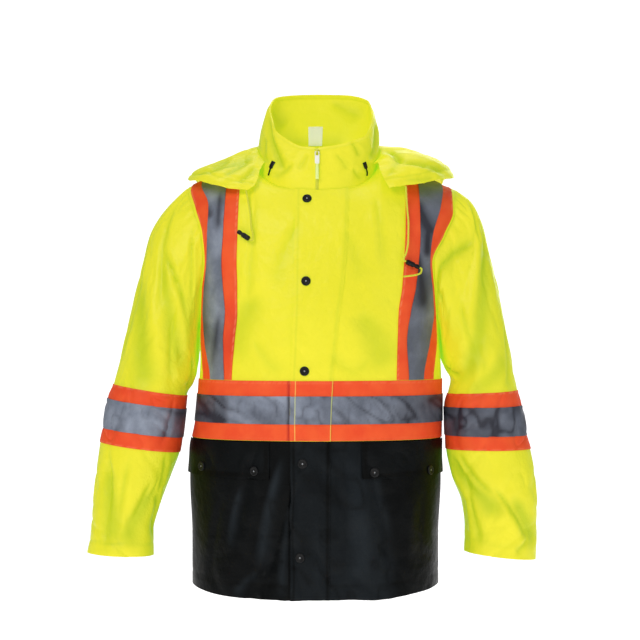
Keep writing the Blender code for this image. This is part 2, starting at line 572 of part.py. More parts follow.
def share_normals(one, other):
    """Both edges of a seam get the same normals, so that the two walls end square to it."""
    mean = unit(one + other)
    one[:] = mean
    other[:] = mean


# ---- rows and columns of the body's grid ----
ROW_TAPE_BOTTOM = len(LOWER_SHARES) - 1
ROW_POCKET_FLAP = ROW_TAPE_BOTTOM - 1
ROW_SILVER_BOTTOM = ROW_TAPE_BOTTOM + UPPER_HEIGHTS.index(SILVER_BOTTOM)
ROW_SILVER_TOP = ROW_TAPE_BOTTOM + UPPER_HEIGHTS.index(SILVER_TOP)
ROW_TAPE_TOP = ROW_TAPE_BOTTOM + UPPER_HEIGHTS.index(TAPE_TOP)
ROW_UNDERARM = ROW_TAPE_BOTTOM + UPPER_HEIGHTS.index(UNDERARM)
FRONT = {name: column for column, name in enumerate(FRONT_NAMES)}
BACK = {name: column for column, name in enumerate(BACK_NAMES)}
SIDES = ("right", "left")


def whole_half(side, front):
    """Half a front or half the back, hem to shoulder seam."""
    return np.concatenate([body_grid(side, front, "lower")[:-1], body_grid(side, front, "upper")])


def make_body():
    """Grids and normals of the two fronts and of the back, the back from right edge to left edge."""
    grids = {side: whole_half(side, True) for side in SIDES}
    halves = {side: whole_half(side, False) for side in SIDES}
    grids["back"] = np.concatenate([halves["right"][:, ::-1], halves["left"][:, 1:]], axis=1)
    normals = {name: grid_normals(grid, np.array([0.0, 0.0, -0.25])) for name, grid in grids.items()}
    corner, last = FRONT["corner"], grids["right"].shape[1]
    shoulder = last - corner
    back = normals["back"]
    share_normals(normals["right"][: ROW_UNDERARM + 1, -1], back[: ROW_UNDERARM + 1, 0])
    share_normals(normals["left"][: ROW_UNDERARM + 1, -1], back[: ROW_UNDERARM + 1, -1])
    share_normals(normals["right"][-1, corner:], back[-1, shoulder - 1::-1])
    share_normals(normals["left"][-1, corner:], back[-1, -shoulder:])
    return grids, normals


def body_panels(grids, normals):
    for name, label in (("right", "front_right"), ("left", "front_left"), ("back", "back")):
        inset = SEAM_GAP / 2
        first = 0.0 if name != "back" else inset
        for part, rows in (("", slice(ROW_TAPE_BOTTOM, None)), ("_hem", slice(0, ROW_TAPE_BOTTOM + 1))):
            points = trimmed(grids[name][rows], inset if part == "" else 0.0, inset, first, inset)
            colour = "yellow_cloth" if part == "" else "black_cloth"
            add_wall(label + part, points, normals[name][rows], -WALL, 0.0, colour)


def flap_columns(grids):
    """The storm flap's columns, from its free edge across the zip to its stitched edge."""
    last = FRONT["flap"]
    return np.concatenate([grids["right"][:, last::-1], grids["left"][:, :last + 1]], axis=1)


def storm_flap(grids, normals):
    points, facing = flap_columns(grids), flap_columns(normals)
    low, high = LAID_GAP, LAID_GAP + FLAP_THICK
    upper, lower = slice(ROW_TAPE_BOTTOM, None), slice(0, ROW_TAPE_BOTTOM + 1)
    add_wall("storm_flap", trimmed(points[upper], SEAM_GAP / 2, FLAP_DROP), facing[upper],
             low, high, "yellow_cloth")
    add_wall("storm_flap_hem", trimmed(points[lower], 0.0, SEAM_GAP / 2), facing[lower], low, high,
             "black_cloth")
    add_tape("storm_flap_tape", points, facing, high, 0.0, 0.0)
    return points, facing, high


def add_tape(name, points, facing, base, first_column, last_column):
    """Backing and silver strip round the body, on a surface `base` above its grid."""
    low = base + LAID_GAP
    high = low + TAPE_THICK
    backing = slice(ROW_TAPE_BOTTOM, ROW_TAPE_TOP + 1)
    add_wall(name, trimmed(points[backing], SEAM_GAP, 0.0, first_column, last_column),
             facing[backing], low, high, "orange_tape")
    silver = slice(ROW_SILVER_BOTTOM, ROW_SILVER_TOP + 1)
    add_wall(name + "_silver", trimmed(points[silver], 0.0, 0.0, first_column, last_column),
             facing[silver], high + SEAM_GAP, high + SEAM_GAP + SILVER_THICK, "silver_tape")


def round_body(grids):
    """The body's columns from the storm flap's free edge round the back to its stitched edge."""
    start = FRONT["flap"]
    left = grids["left"][:, -2:start - 1:-1]
    return np.concatenate([grids["right"][:, start:-1], grids["back"], left], axis=1)


def brace_tapes(grids, normals):
    """Tapes from the waist tape up each front, over the shoulder and down the back."""
    middle = (grids["back"].shape[1] - 1) // 2
    for side, sign in (("right", -1), ("left", 1)):
        for name, first, last, low, thick, colour in (
            ("brace_tape_", "brace_in", "brace_out", LAID_GAP, TAPE_THICK, "orange_tape"),
            ("brace_silver_", "silver_in", "silver_out", LAID_GAP + TAPE_THICK + SEAM_GAP, SILVER_THICK,
             "silver_tape"),
        ):
            pieces = []
            for source in (grids, normals):
                front = source[side][ROW_TAPE_TOP:, FRONT[first]:FRONT[last] + 1]
                picked = middle + sign * np.arange(BACK[first], BACK[last] + 1)
                back = source["back"][ROW_TAPE_TOP:-1, picked][::-1]
                pieces.append(np.concatenate([front, back]))
            points = trimmed(pieces[0], LAID_GAP, LAID_GAP)
            add_wall(name + side, points, pieces[1], low, low + thick, colour)


def pocket_flaps(grids, normals):
    rows = slice(ROW_POCKET_FLAP, ROW_TAPE_BOTTOM + 1)
    for side in SIDES:
        columns = slice(FRONT["pocket"], -1)
        points = trimmed(grids[side][rows, columns], 0.0, POCKET_FLAP_DROP)
        add_wall("pocket_flap_" + side, points, normals[side][rows, columns],
                 LAID_GAP, LAID_GAP + FLAP_THICK, "black_cloth")


def armhole(side, grids):
    """The armhole's edge: from under the arm up the front, over the shoulder, down the back."""
    front = grids[side][ROW_UNDERARM:, -1]
    back = grids["back"][ROW_UNDERARM + 1:-1, 0 if side == "right" else -1][::-1]
    return np.concatenate([front, back])


def sleeve_grid(side, edge):
    """Rings of a sleeve, armhole to cuff, each ring's points in the armhole's order."""
    sign = 1 if side == "left" else -1
    rows = SLEEVE[side]
    number = np.arange(len(rows["half"]), dtype=float)
    station = np.array(SLEEVE_STATIONS)[:, None]
    value = {name: smooth_read(station, number, column) for name, column in rows.items()}
    around = 2 * math.pi * np.arange(len(edge)) / len(edge)

    def ellipse(value):
        """Outline of the sleeve seen from the front, swept round through its thickness."""
        share = (1 - np.cos(around)) / 2
        x = value["low_x"] + (value["top_x"] - value["low_x"]) * share
        z = value["low_z"] + (value["top_z"] - value["low_z"]) * share
        return np.stack([sign * x, value["mid_y"] - value["half"] * np.sin(around), z], axis=-1)

    own = ellipse(value)
    head = 1 - smooth_step(station / HEAD_LENGTH)
    points = own + (edge - own[0]) * head[..., None]
    turns = np.broadcast_to(around / (2 * math.pi), points.shape[:2])
    girth = np.linalg.norm(np.diff(points, axis=1, append=points[:, :1]), axis=-1).sum(axis=1)
    length = run_along(points.mean(axis=1))
    lines = []
    for from_station, from_turn, to_station, to_turn, width, depth in SLEEVE_FOLDS[side]:
        ends = np.interp([from_station, to_station], SLEEVE_STATIONS, length)
        reach = np.interp([from_station, to_station], SLEEVE_STATIONS, girth)
        lines.append((ends[0], from_turn * reach[0], ends[1], to_turn * reach[1], width, depth))
    swell = fold_depth(np.broadcast_to(length[:, None], turns.shape), turns * girth[:, None], lines)
    middle = points.mean(axis=1, keepdims=True)
    return points + unit(points - middle) * swell[..., None] * smooth_step(station / 2)[..., None]


def collar_grid(grids, normals):
    """The collar's outer surface, rows from neckline to top edge, columns right zip to left zip."""
    corner = FRONT["corner"]
    back = grids["back"][-1]
    middle = (len(back) - 1) // 2
    inner = BACK["corner"] - 1
    low = np.concatenate([grids["right"][-1, :corner + 1], back[middle - inner:middle + inner + 1],
                          grids["left"][-1, corner::-1]])
    half = (len(low) - 1) // 2
    tops = []
    for side, line in (("right", low[:half + 1]), ("left", low[:half - 1:-1])):
        sign = 1 if side == "left" else -1
        run = run_along(line)
        around = run / run[-1]
        x, y, z = (read(COLLAR_TOP[side], "around", name, around) for name in "xyz")
        tops.append(np.stack([sign * x, y, z], axis=1))
    top = np.concatenate([tops[0], tops[1][-2::-1]])
    height = np.array(COLLAR_HEIGHTS)[:, None, None]
    points = low + (top - low) * height
    outward = unit(points * np.array([1.0, 1.0, 0.0]))
    points = points + outward * COLLAR_BULGE * 4 * height * (1 - height)
    facing = grid_normals(points, np.array([0.0, 0.0, 0.0]))
    return points, facing


def spot(grid, column, row):
    """A point between the grid's points, at fractional column and row numbers."""
    column, row = np.broadcast_arrays(np.asarray(column, float), np.asarray(row, float))
    j = np.clip(np.floor(column).astype(int), 0, grid.shape[1] - 2)
    i = np.clip(np.floor(row).astype(int), 0, grid.shape[0] - 2)
    s, t = (column - j)[..., None], (row - i)[..., None]
    low = grid[i, j] * (1 - s) + grid[i, j + 1] * s
    high = grid[i + 1, j] * (1 - s) + grid[i + 1, j + 1] * s
    return low * (1 - t) + high * t


def height_row(share):
    """Fractional row of the collar's grid at a share of its height."""
    return np.interp(share, COLLAR_HEIGHTS, range(len(COLLAR_HEIGHTS)))


def zip_chain(grids, normals, collar, collar_facing):
    """The closed zip, hem to collar top, between the two fronts and the collar's ends."""
    right = np.concatenate([grids["right"][:, 0], collar[1:, 0]])
    left = np.concatenate([grids["left"][:, 0], collar[1:, -1]])
    facing = unit(np.concatenate([normals["right"][:, 0] + normals["left"][:, 0],
                                  collar_facing[1:, 0] + collar_facing[1:, -1]]))
    points = trimmed(np.stack([right, left], axis=1), 0.0, ZIP_STOP, SEAM_GAP, SEAM_GAP)
    add_wall("zip_chain", points, np.stack([facing, facing], axis=1), -ZIP_THICK, 0.0, "zip_plastic")


def body_samples(grids, normals):
    """Points and normals spread over the body, four to a grid step each way."""
    points, facing = [], []
    for name, grid in grids.items():
        row = np.arange(0, grid.shape[0] - 1 + 1e-6, 0.25)[:, None]
        column = np.arange(0, grid.shape[1] - 1 + 1e-6, 0.25)[None, :]
        points.append(spot(grid, column, row).reshape(-1, 3))
        facing.append(unit(spot(normals[name], column, row)).reshape(-1, 3))
    return np.concatenate(points), np.concatenate(facing)


def kept_clear(points, samples, clear):
    """Points nearer to the body than `clear` moved out along the body's normals."""
    flat = points.reshape(-1, 3).copy()
    body, facing = samples
    for _ in range(3):
        near = np.array([np.argmin(np.sum((body - point) ** 2, axis=1)) for point in flat])
        out = np.sum((flat - body[near]) * facing[near], axis=1)
        flat += facing[near] * np.maximum(clear.reshape(-1) - out, 0)[:, None]
    return flat.reshape(points.shape)


def hood_grid(collar, collar_facing, samples):
    """The laid-back hood, rows from its seam on the collar to its rim, columns right to left."""
    middle = (collar.shape[1] - 1) // 2
    count = 2 * (middle - HOOD_FIRST)
    around = np.arange(count + 1) / count
    halves = []
    for side, sign in (("right", -1), ("left", 1)):
        column = HOOD_FIRST + (middle - HOOD_FIRST) * around
        column = column if side == "right" else 2 * middle - column
        row = height_row(HOOD_SEAM_LOW + (HOOD_SEAM_HIGH - HOOD_SEAM_LOW) * smooth_step(around))
        seam = spot(collar, column, row) + unit(spot(collar_facing, column, row)) * HOOD_SEAM_GAP
        widen, lift = (WING_WIDEN, WING_LIFT) if side == "left" else (1.0, 0.0)
        sections = [seam]
        for name in ("crown", "fold", "face", "rim"):
            x, y, z = (read(HOOD, "around", f"{name}_{axis}", around) for axis in "xyz")
            sections.append(np.stack([sign * x * widen, y, z + lift * (1 - around)], axis=1))
        sections = np.array(sections)
        places = np.linspace(0, 1, len(sections))
        share = np.array(HOOD_STEPS)
        half = np.array([[smooth_read(share, places, sections[:, k, axis]) for axis in range(3)]
                         for k in range(count + 1)])
        halves.append(half.transpose(2, 0, 1))
    points = np.concatenate([halves[0], halves[1][:, -2::-1]], axis=1)
    clear = np.broadcast_to(HOOD_CLEAR * smooth_step(np.array(HOOD_STEPS) * 6)[:, None], points.shape[:2])
    points[1:] = kept_clear(points[1:], samples, clear[1:])
    return points


def patch(grid, facing, columns, rows):
    column, row = np.meshgrid(np.array(columns, float), np.array(rows, float))
    return spot(grid, column, row), unit(spot(facing, column, row))


def neck_label(collar, facing):
    """The blank label inside the back of the collar."""
    middle = (collar.shape[1] - 1) // 2
    rows = []
    for height in (LABEL_LOW, (LABEL_LOW + LABEL_HIGH) / 2, LABEL_HIGH):
        rows.append(np.interp(height, collar[:, middle, 2], range(len(collar))))
    level = spot(collar, np.arange(collar.shape[1]), rows[1])[:, 0]
    near = range(middle - 2, middle + 3)
    columns = np.interp([LABEL_LEFT, 0.0, LABEL_RIGHT], level[near], near)
    points, normals = patch(collar, facing, columns, rows)
    add_wall("neck_label", points, normals, -WALL - 2 * SEAM_GAP - LABEL_THICK, -WALL - 2 * SEAM_GAP,
             "white_label")


def hood_tabs(collar, facing):
    """Small black tabs on the collar at the front ends of the hood's seam."""
    last = collar.shape[1] - 1
    inner, outer = TAB_COLUMNS
    for side, columns in (("right", (inner, outer)), ("left", (last - outer, last - inner))):
        points, normals = patch(collar, facing, columns, height_row(TAB_HEIGHTS))
        add_wall("hood_tab_" + side, points, normals, TAB_LOW, TAB_HIGH, "black_plastic")


def turned(name, profile, origin, axis, colour, sides=16):
    """A solid turned from (radius, height) points, bottom to top, about `axis` from `origin`."""
    axis = unit(np.array(axis, float))
    beside = unit(np.cross(axis, [0.0, 0.3, 1.0]))
    other = np.cross(axis, beside)
    angle = 2 * math.pi * np.arange(sides) / sides
    spokes = np.cos(angle)[:, None] * beside + np.sin(angle)[:, None] * other
    rings = [origin + spokes * radius + axis * height for radius, height in profile]
    ends = [origin + axis * profile[0][1], origin + axis * profile[-1][1]]
    points = np.concatenate(rings + [np.array(ends)])
    number = np.arange(len(profile) * sides).reshape(len(profile), sides)
    number = np.concatenate([number, number[:, :1]], axis=1)
    faces = [strip_faces(number[i], number[i + 1]) for i in range(len(profile) - 1)]
    low, high = len(points) - 2, len(points) - 1
    faces.append(np.stack([number[0, 1:], number[0, :-1], np.full(sides, low)], axis=1))
    faces.append(np.stack([number[-1, :-1], number[-1, 1:], np.full(sides, high)], axis=1))
    return add_solid(name, points, np.concatenate(faces), colour)


def surface_place(points, facing, x, z):
    """Where a straight look along y at (x, z) meets a grid whose columns run across x."""
    order = np.argsort(points[-1, :, 0])
    lines, turned_to = points[:, order], facing[:, order]
    level = np.array([[np.interp(x, row[:, 0], row[:, axis]) for axis in (1, 2)] for row in lines])
    normal = np.array([[np.interp(x, row[:, 0], n[:, axis]) for axis in range(3)]
                       for row, n in zip(lines, turned_to)])
    y = np.interp(z, level[:, 1], level[:, 0])
    out = unit(np.array([np.interp(z, level[:, 1], normal[:, axis]) for axis in range(3)]))
    return np.array([x, y, z]), out


def add_snap(name, points, facing, x, z, base):
    """A black snap cap with a raised ring, lying on a surface `base` above the grid."""
    place, out = surface_place(points, facing, x, z)
    profile = [(SNAP_RADIUS * radius, SNAP_THICK * height) for radius, height in SNAP_PROFILE]
    turned(name, profile, place + out * (base + 1.6 * SEAM_GAP), out, "black_plastic")


def snaps(grids, normals, flap, flap_facing, flap_top):
    for number, (x, z) in enumerate(zip(FLAP_SNAPS["x"], FLAP_SNAPS["z"]), start=1):
        add_snap(f"snap_{number}", flap, flap_facing, x, z, flap_top)
    for side, sign in (("right", -1), ("left", 1)):
        for place, x, z in zip(("inner", "outer"), POCKET_SNAPS[side]["x"], POCKET_SNAPS[side]["z"]):
            add_snap(f"pocket_snap_{side}_{place}", grids[side], normals[side], sign * x, z,
                     LAID_GAP + FLAP_THICK)


def boxed(name, low, high, colour, frame):
    """A box between two corners given in a frame of (origin, across, out, up)."""
    origin, across, out, up = frame
    pick = np.array([[i, j, k] for i in (0, 1) for j in (0, 1) for k in (0, 1)], float)
    own = np.array(low) + (np.array(high) - np.array(low)) * pick
    points = origin + own[:, :1] * across + own[:, 1:2] * out + own[:, 2:] * up
    faces = np.array([(0, 1, 3), (0, 3, 2), (4, 6, 7), (4, 7, 5), (0, 4, 5), (0, 5, 1),
                      (2, 3, 7), (2, 7, 6), (0, 2, 6), (0, 6, 4), (1, 5, 7), (1, 7, 3)])
    return add_solid(name, points, faces, colour)


def joined(base, helper, operation):
    """Adds or cuts a helper with a Boolean, and keeps the helper out of the model."""
    step = base.modifiers.new(operation.lower(), "BOOLEAN")
    step.operation = operation
    step.solver = "EXACT"
    step.object = helper
    helper.hide_render = True
    helper.display_type = "WIRE"
    helper.hide_set(True)


def slider_and_pull(collar, facing):
    """The zip's slider near the collar's top, and the pull that hangs from its bridge."""
    edges = (collar[:, 0] + collar[:, -1]) / 2
    y = np.interp(SLIDER_HEIGHT, edges[:, 2], edges[:, 1])
    up = unit((edges[-2] - edges[-3]) * np.array([0.0, 1.0, 1.0]))
    across = np.array([1.0, 0.0, 0.0])
    out = np.cross(across, up)
    width, thick, tall = SLIDER_SIZE
    base = np.array([0.0, y, SLIDER_HEIGHT]) + out * SLIDER_LIFT
    frame = (base, across, out, up)
    slider = boxed("zip_slider", (-width / 2, 0, -tall / 2), (width / 2, thick, tall / 2),
                   "zip_plastic", frame)
    reach = thick + BRIDGE_REACH
    inner = BRIDGE_ARM - BRIDGE_BAR
    bridge = boxed("bridge_outer", (-BRIDGE_WIDTH / 2, thick / 2, -BRIDGE_ARM),
                   (BRIDGE_WIDTH / 2, reach, BRIDGE_ARM), "zip_plastic", frame)
    inside = boxed("bridge_inner", (-BRIDGE_WIDTH, thick, -inner),
                   (BRIDGE_WIDTH, reach - BRIDGE_BAR, inner), "zip_plastic", frame)
    joined(slider, bridge, "UNION")
    joined(slider, inside, "DIFFERENCE")
    half_bar = PULL_BAR / 2
    hinge = base + out * (reach - BRIDGE_BAR - half_bar - PULL_PLAY) - up * HINGE_DROP
    pull_frame = (hinge, across, out, up)
    tab = boxed("zip_pull_tab", (-PULL_WIDTH / 2, -half_bar, -PULL_LENGTH),
                (PULL_WIDTH / 2, half_bar, half_bar), "white_label", pull_frame)
    eye = boxed("pull_eye", (-EYE_WIDTH / 2, -PULL_BAR, -EYE_LENGTH),
                (EYE_WIDTH / 2, PULL_BAR, -half_bar), "white_label", pull_frame)
    joined(tab, eye, "DIFFERENCE")
    top = -PULL_LENGTH - SEAM_GAP
    boxed("zip_pull_tail", (-TAIL_WIDTH / 2, -half_bar, top - TAIL_LENGTH),
          (TAIL_WIDTH / 2, half_bar, top), "yellow_cord", pull_frame)


def smooth_route(points, step):
    """Places about `step` apart on a smooth curve through the route's own points."""
    points = np.array(points, float)
    run = run_along(points)
    at = np.linspace(0, run[-1], max(3, round(run[-1] / step) + 1))
    return np.stack([smooth_read(at, run, points[:, axis]) for axis in range(3)], axis=1)


def add_cord(name, points):
    curve = bpy.data.curves.new(name, "CURVE")
    curve.dimensions = "3D"
    curve.bevel_depth = CORD_DIAMETER / 2
    curve.bevel_resolution = 2
    curve.use_fill_caps = True
    route = smooth_route(points, 2.5 * CORD_DIAMETER)
    spline = curve.splines.new("POLY")
    spline.points.add(len(route) - 1)
    spline.points.foreach_set("co", np.c_[route, np.ones(len(route))].ravel())
    made = bpy.data.objects.new(name, curve)
    bpy.context.collection.objects.link(made)
    curve.materials.append(material("yellow_cord"))


def cord_lock(name, start, end):
    """A barrel lock from where the cord goes in to where it comes out."""
    start, end = np.array(start), np.array(end)
    length = np.linalg.norm(end - start)
    profile = [(LOCK_RADIUS * radius, length * share) for radius, share in LOCK_PROFILE]
    turned(name, profile, start, end - start, "black_plastic", sides=14)


def main():
    for old in list(bpy.data.objects):
        bpy.data.objects.remove(old, do_unlink=True)
    grids, normals = make_body()
    body_panels(grids, normals)
    flap, flap_facing, flap_top = storm_flap(grids, normals)
    add_tape("waist_tape", round_body(grids), round_body(normals), 0.0, 2 * SEAM_GAP, 2 * SEAM_GAP)
    brace_tapes(grids, normals)
    pocket_flaps(grids, normals)
    for side in SIDES:
        points = trimmed(sleeve_grid(side, armhole(side, grids)), SLEEVE_GAP)
        middle = points.mean(axis=1, keepdims=True)
        facing = grid_normals(points, middle, ring=True)
        add_wall("sleeve_" + side, points, facing, -WALL, 0.0, "yellow_cloth", ring=True)
        tape = slice(SLEEVE_TAPE["tape_top"], SLEEVE_TAPE["tape_bottom"] + 1)
        silver = slice(SLEEVE_TAPE["silver_top"], SLEEVE_TAPE["silver_bottom"] + 1)
        high = LAID_GAP + TAPE_THICK
        add_wall("sleeve_tape_" + side, points[tape], facing[tape], LAID_GAP, high, "orange_tape",
                 ring=True)
        add_wall("sleeve_silver_" + side, points[silver], facing[silver], high + SEAM_GAP,
                 high + SEAM_GAP + SILVER_THICK, "silver_tape", ring=True)
    collar, collar_facing = collar_grid(grids, normals)
    add_wall("collar", trimmed(collar, SEAM_GAP), collar_facing, -WALL, 0.0, "yellow_cloth")
    zip_chain(grids, normals, collar, collar_facing)
    hood = hood_grid(collar, collar_facing, body_samples(grids, normals))
    hood_facing = grid_normals(hood, np.array([0.0, 0.05, -0.30]))
    add_wall("hood", hood, hood_facing, 0.0, WALL, "yellow_cloth")
    neck_label(collar, collar_facing)
    hood_tabs(collar, collar_facing)
    snaps(grids, normals, flap, flap_facing, flap_top)
    slider_and_pull(collar, collar_facing)
    for name, route in CORD_ROUTES.items():
        add_cord(name, route)
    for name, (start, end) in LOCKS.items():
        cord_lock(name, start, end)


main()
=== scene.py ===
import math

import bpy
import numpy as np
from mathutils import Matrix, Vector


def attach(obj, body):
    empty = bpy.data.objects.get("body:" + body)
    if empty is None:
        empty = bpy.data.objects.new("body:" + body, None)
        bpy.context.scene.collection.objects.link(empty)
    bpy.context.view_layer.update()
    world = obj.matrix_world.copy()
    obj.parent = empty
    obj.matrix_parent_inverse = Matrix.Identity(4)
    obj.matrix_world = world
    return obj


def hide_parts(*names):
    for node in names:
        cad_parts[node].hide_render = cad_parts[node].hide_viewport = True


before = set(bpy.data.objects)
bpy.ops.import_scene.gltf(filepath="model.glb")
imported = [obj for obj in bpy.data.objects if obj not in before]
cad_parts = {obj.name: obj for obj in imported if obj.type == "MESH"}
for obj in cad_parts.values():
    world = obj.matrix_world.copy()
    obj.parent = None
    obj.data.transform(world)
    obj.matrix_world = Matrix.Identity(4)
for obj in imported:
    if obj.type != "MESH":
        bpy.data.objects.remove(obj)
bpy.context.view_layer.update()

# The camera of the photograph: straight from the front, with a long lens.
cameraValues = {"distance": 3.2, "lookX": 0.005, "lookZ": -0.264, "lens": 102.27, "sensor": 36.0}
cameraData = bpy.data.cameras.new("camera")
cameraData.lens = cameraValues["lens"]
cameraData.sensor_width = cameraValues["sensor"]
camera = bpy.data.objects.new("camera", cameraData)
bpy.context.scene.collection.objects.link(camera)
camera.location = (cameraValues["lookX"], -cameraValues["distance"], cameraValues["lookZ"])
camera.rotation_euler = (math.pi / 2, 0, 0)
bpy.context.scene.camera = camera


def linearColour(hexCode):
    # sRGB hex to the linear values Blender wants: ((c + 0.055) / 1.055) ** 2.4 above the toe
    parts = [int(hexCode[i:i + 2], 16) / 255 for i in (1, 3, 5)]
    return [c / 12.92 if c <= 0.04045 else ((c + 0.055) / 1.055) ** 2.4 for c in parts] + [1.0]


def joinInputs(tree, node, inputs):
    # each input gets a socket to link from, a hex colour or a plain value
    for key, value in inputs.items():
        if isinstance(value, bpy.types.NodeSocket):
            tree.links.new(value, node.inputs[key])
        else:
            node.inputs[key].default_value = linearColour(value) if isinstance(value, str) else value


def addNode(tree, kind, inputs, output=0, **settings):
    # one node with its settings and links; returns the output to link on from
    node = tree.nodes.new("ShaderNode" + kind)
    for key, value in settings.items():
        setattr(node, key, value)
    joinInputs(tree, node, inputs)
    return node.outputs[output]


def newMaterial(name):
    # a material with its node tree and its one shader
    made = bpy.data.materials.new(name)
    made.use_nodes = True
    return made, made.node_tree, made.node_tree.nodes["Principled BSDF"]


def softMaterial(name, looks):
    # colour drifting with a slow noise, then the bead colour, the painted shade (crease shade, and the painted sheen on
    # the black cloth), the stitch and the piping colours over it;
    # height = weave / 2 + grain, or weave / 2 - 2 * stitch, on a coarser pucker
    made, tree, shader = newMaterial(name)
    place = addNode(tree, "TexCoord", {}, "Object")
    scale, detail, roughness = looks["drift"]
    slow = addNode(tree, "TexNoise", {"Vector": place, "Scale": scale, "Detail": detail, "Roughness": roughness})
    drift = addNode(tree, "MapRange", {0: slow, 1: looks["driftFrom"][0], 2: looks["driftFrom"][1]})
    layers = [(drift, looks["light"])]
    shade, stitch, piping = (addNode(tree, "Attribute", {}, "Fac", attribute_name=key)
                             for key in ("shade", "stitch", "piping"))
    if "beads" in looks:
        height = addNode(tree, "TexVoronoi", {"Vector": place, "Scale": looks["beads"]}, "Distance")
        beads = addNode(tree, "Math", {0: height, 1: 0.22}, operation="MULTIPLY", use_clamp=True)
        layers.append((beads, looks["shade"]))
    # painted shade and painted sheen, carried by the shade attribute
    layers.append((shade, looks["shade"]))
    if "thread" in looks:
        layers.append((addNode(tree, "Math", {0: stitch, 1: 0.45}, operation="MULTIPLY"), looks["thread"]))
    if "piping" in looks:
        layers.append((piping, looks["piping"]))
    colour = looks["colour"]
    for share, over in layers:
        colour = addNode(tree, "Mix", {0: share, 6: colour, 7: over}, 2, data_type="RGBA")
    if "weave" in looks:
        # two crossed sine waves on the flat cloth's UV, one thread each: a plain weave
        split = tree.nodes.new("ShaderNodeSeparateXYZ")
        joinInputs(tree, split, {0: addNode(tree, "UVMap", {})})
        turns = [addNode(tree, "Math", {0: split.outputs[axis], 1: 2 * math.pi / looks["weave"]}, operation="MULTIPLY")
                 for axis in (0, 1)]
        waves = [addNode(tree, "Math", {0: turn}, operation="SINE") for turn in turns]
        weave = addNode(tree, "Math", {0: waves[0], 1: waves[1]}, operation="MULTIPLY")
        if "grain" in looks:
            other = addNode(tree, "TexNoise", {"Vector": place, "Scale": looks["grain"], "Detail": 2.0})
        else:
            other = addNode(tree, "Math", {0: stitch, 1: -2.0}, operation="MULTIPLY")
        height = addNode(tree, "Math", {0: weave, 1: 0.5, 2: other}, operation="MULTIPLY_ADD")
    fine = addNode(tree, "Bump", {"Height": height, "Strength": looks["fine"][0], "Distance": looks["fine"][1]})
    scale, detail, roughness, strength, depth = looks["pucker"]
    pucker = addNode(tree, "TexNoise", {"Vector": place, "Scale": scale, "Detail": detail, "Roughness": roughness})
    joinInputs(tree, shader, {"Base Color": colour, "Normal": addNode(
        tree, "Bump", {"Height": pucker, "Strength": strength, "Distance": depth, "Normal": fine}), **looks["shader"]})
    if "rough" in looks:
        rough = {0: slow, 1: 0.3, 2: 0.7, 3: looks["rough"][0], 4: looks["rough"][1]}
        joinInputs(tree, shader, {"Roughness": addNode(tree, "MapRange", rough)})
    if "glow" in looks:
        # painted glow, dimmed where shade is painted: glow * (1 - 0.15 * shade)
        glow, colour = looks["glow"]
        glow = addNode(tree, "Math", {0: shade, 1: -0.15 * glow, 2: glow}, operation="MULTIPLY_ADD")
        joinInputs(tree, shader, {"Emission Strength": glow, "Emission Color": colour})
    return made


def mouldedPlastic(name, colourHex, roughness, grain, **more):
    # moulded acetal or nylon: fine spark-eroded grain, about 0.7 mm and coarser than real so it shows
    made, tree, shader = newMaterial(name)
    place = addNode(tree, "TexCoord", {}, "Object")
    speck = addNode(tree, "TexNoise", {"Vector": place, "Scale": 1500.0, "Detail": 2.0})
    rough = addNode(tree, "MapRange", {0: speck, 3: roughness - 0.06, 4: roughness + 0.08})
    bump = addNode(tree, "Bump", {"Height": speck, "Strength": grain, "Distance": 0.0001})
    joinInputs(tree, shader, {"Base Color": colourHex, "Roughness": rough, "Normal": bump, "IOR": 1.5})
    joinInputs(tree, shader, more)
    return made


def braidedCord(name, colourHex, shadeHex):
    # braided polyester: diamonds from crossed diagonal waves on the cord's own UV, max(sin(a + b), sin(a - b)) / 2,
    # with painted shade down between the strands
    made, tree, shader = newMaterial(name)
    split = tree.nodes.new("ShaderNodeSeparateXYZ")
    joinInputs(tree, split, {0: addNode(tree, "TexCoord", {}, "UV")})
    along, around = (addNode(tree, "Math", {0: split.outputs[axis], 1: turns}, operation="MULTIPLY")
                     for axis, turns in ((0, 160.0), (1, 8 * math.pi)))
    waves = [addNode(tree, "Math", {0: addNode(tree, "Math", {0: along, 1: around}, operation=sign)}, operation="SINE")
             for sign in ("ADD", "SUBTRACT")]
    higher = addNode(tree, "Math", {0: waves[0], 1: waves[1]}, operation="MAXIMUM")
    braid = addNode(tree, "Math", {0: higher, 1: 0.5}, operation="MULTIPLY", use_clamp=True)
    # a faint painted glow, green like the cloth's
    joinInputs(tree, shader, {
        "Base Color": addNode(tree, "Mix", {0: braid, 6: shadeHex, 7: colourHex}, 2, data_type="RGBA"),
        "Normal": addNode(tree, "Bump", {"Height": braid, "Strength": 0.5, "Distance": 0.0004}),
        "Roughness": 0.6, "Emission Color": "#7CFF2D", "Emission Strength": 0.16})
    return made


# PU-coated polyester, plain weave of 0.6 mm threads, drawn as coarse as it needs to show, under a satin
# film. The yellow's glow is a painted glow: even light given off, standing for light that the dye takes in and gives
# back, which also turns the shaded folds greener.
coatedCloth = {"weave": 0.0006, "grain": 900.0, "fine": (0.10, 0.0002), "driftFrom": (0.35, 0.68)}
yellowCloth = softMaterial("coated_polyester_yellow", {
    **coatedCloth, "colour": "#E8BC24", "light": "#F0C42A", "shade": "#C4AC16", "drift": (5.0, 3.0, 0.5),
    "rough": (0.36, 0.52), "pucker": (34.0, 4.0, 0.55, 0.55, 0.007), "glow": (0.30, "#7CFF2D"),
    "shader": {"IOR": 1.46, "Specular IOR Level": 0.30}})
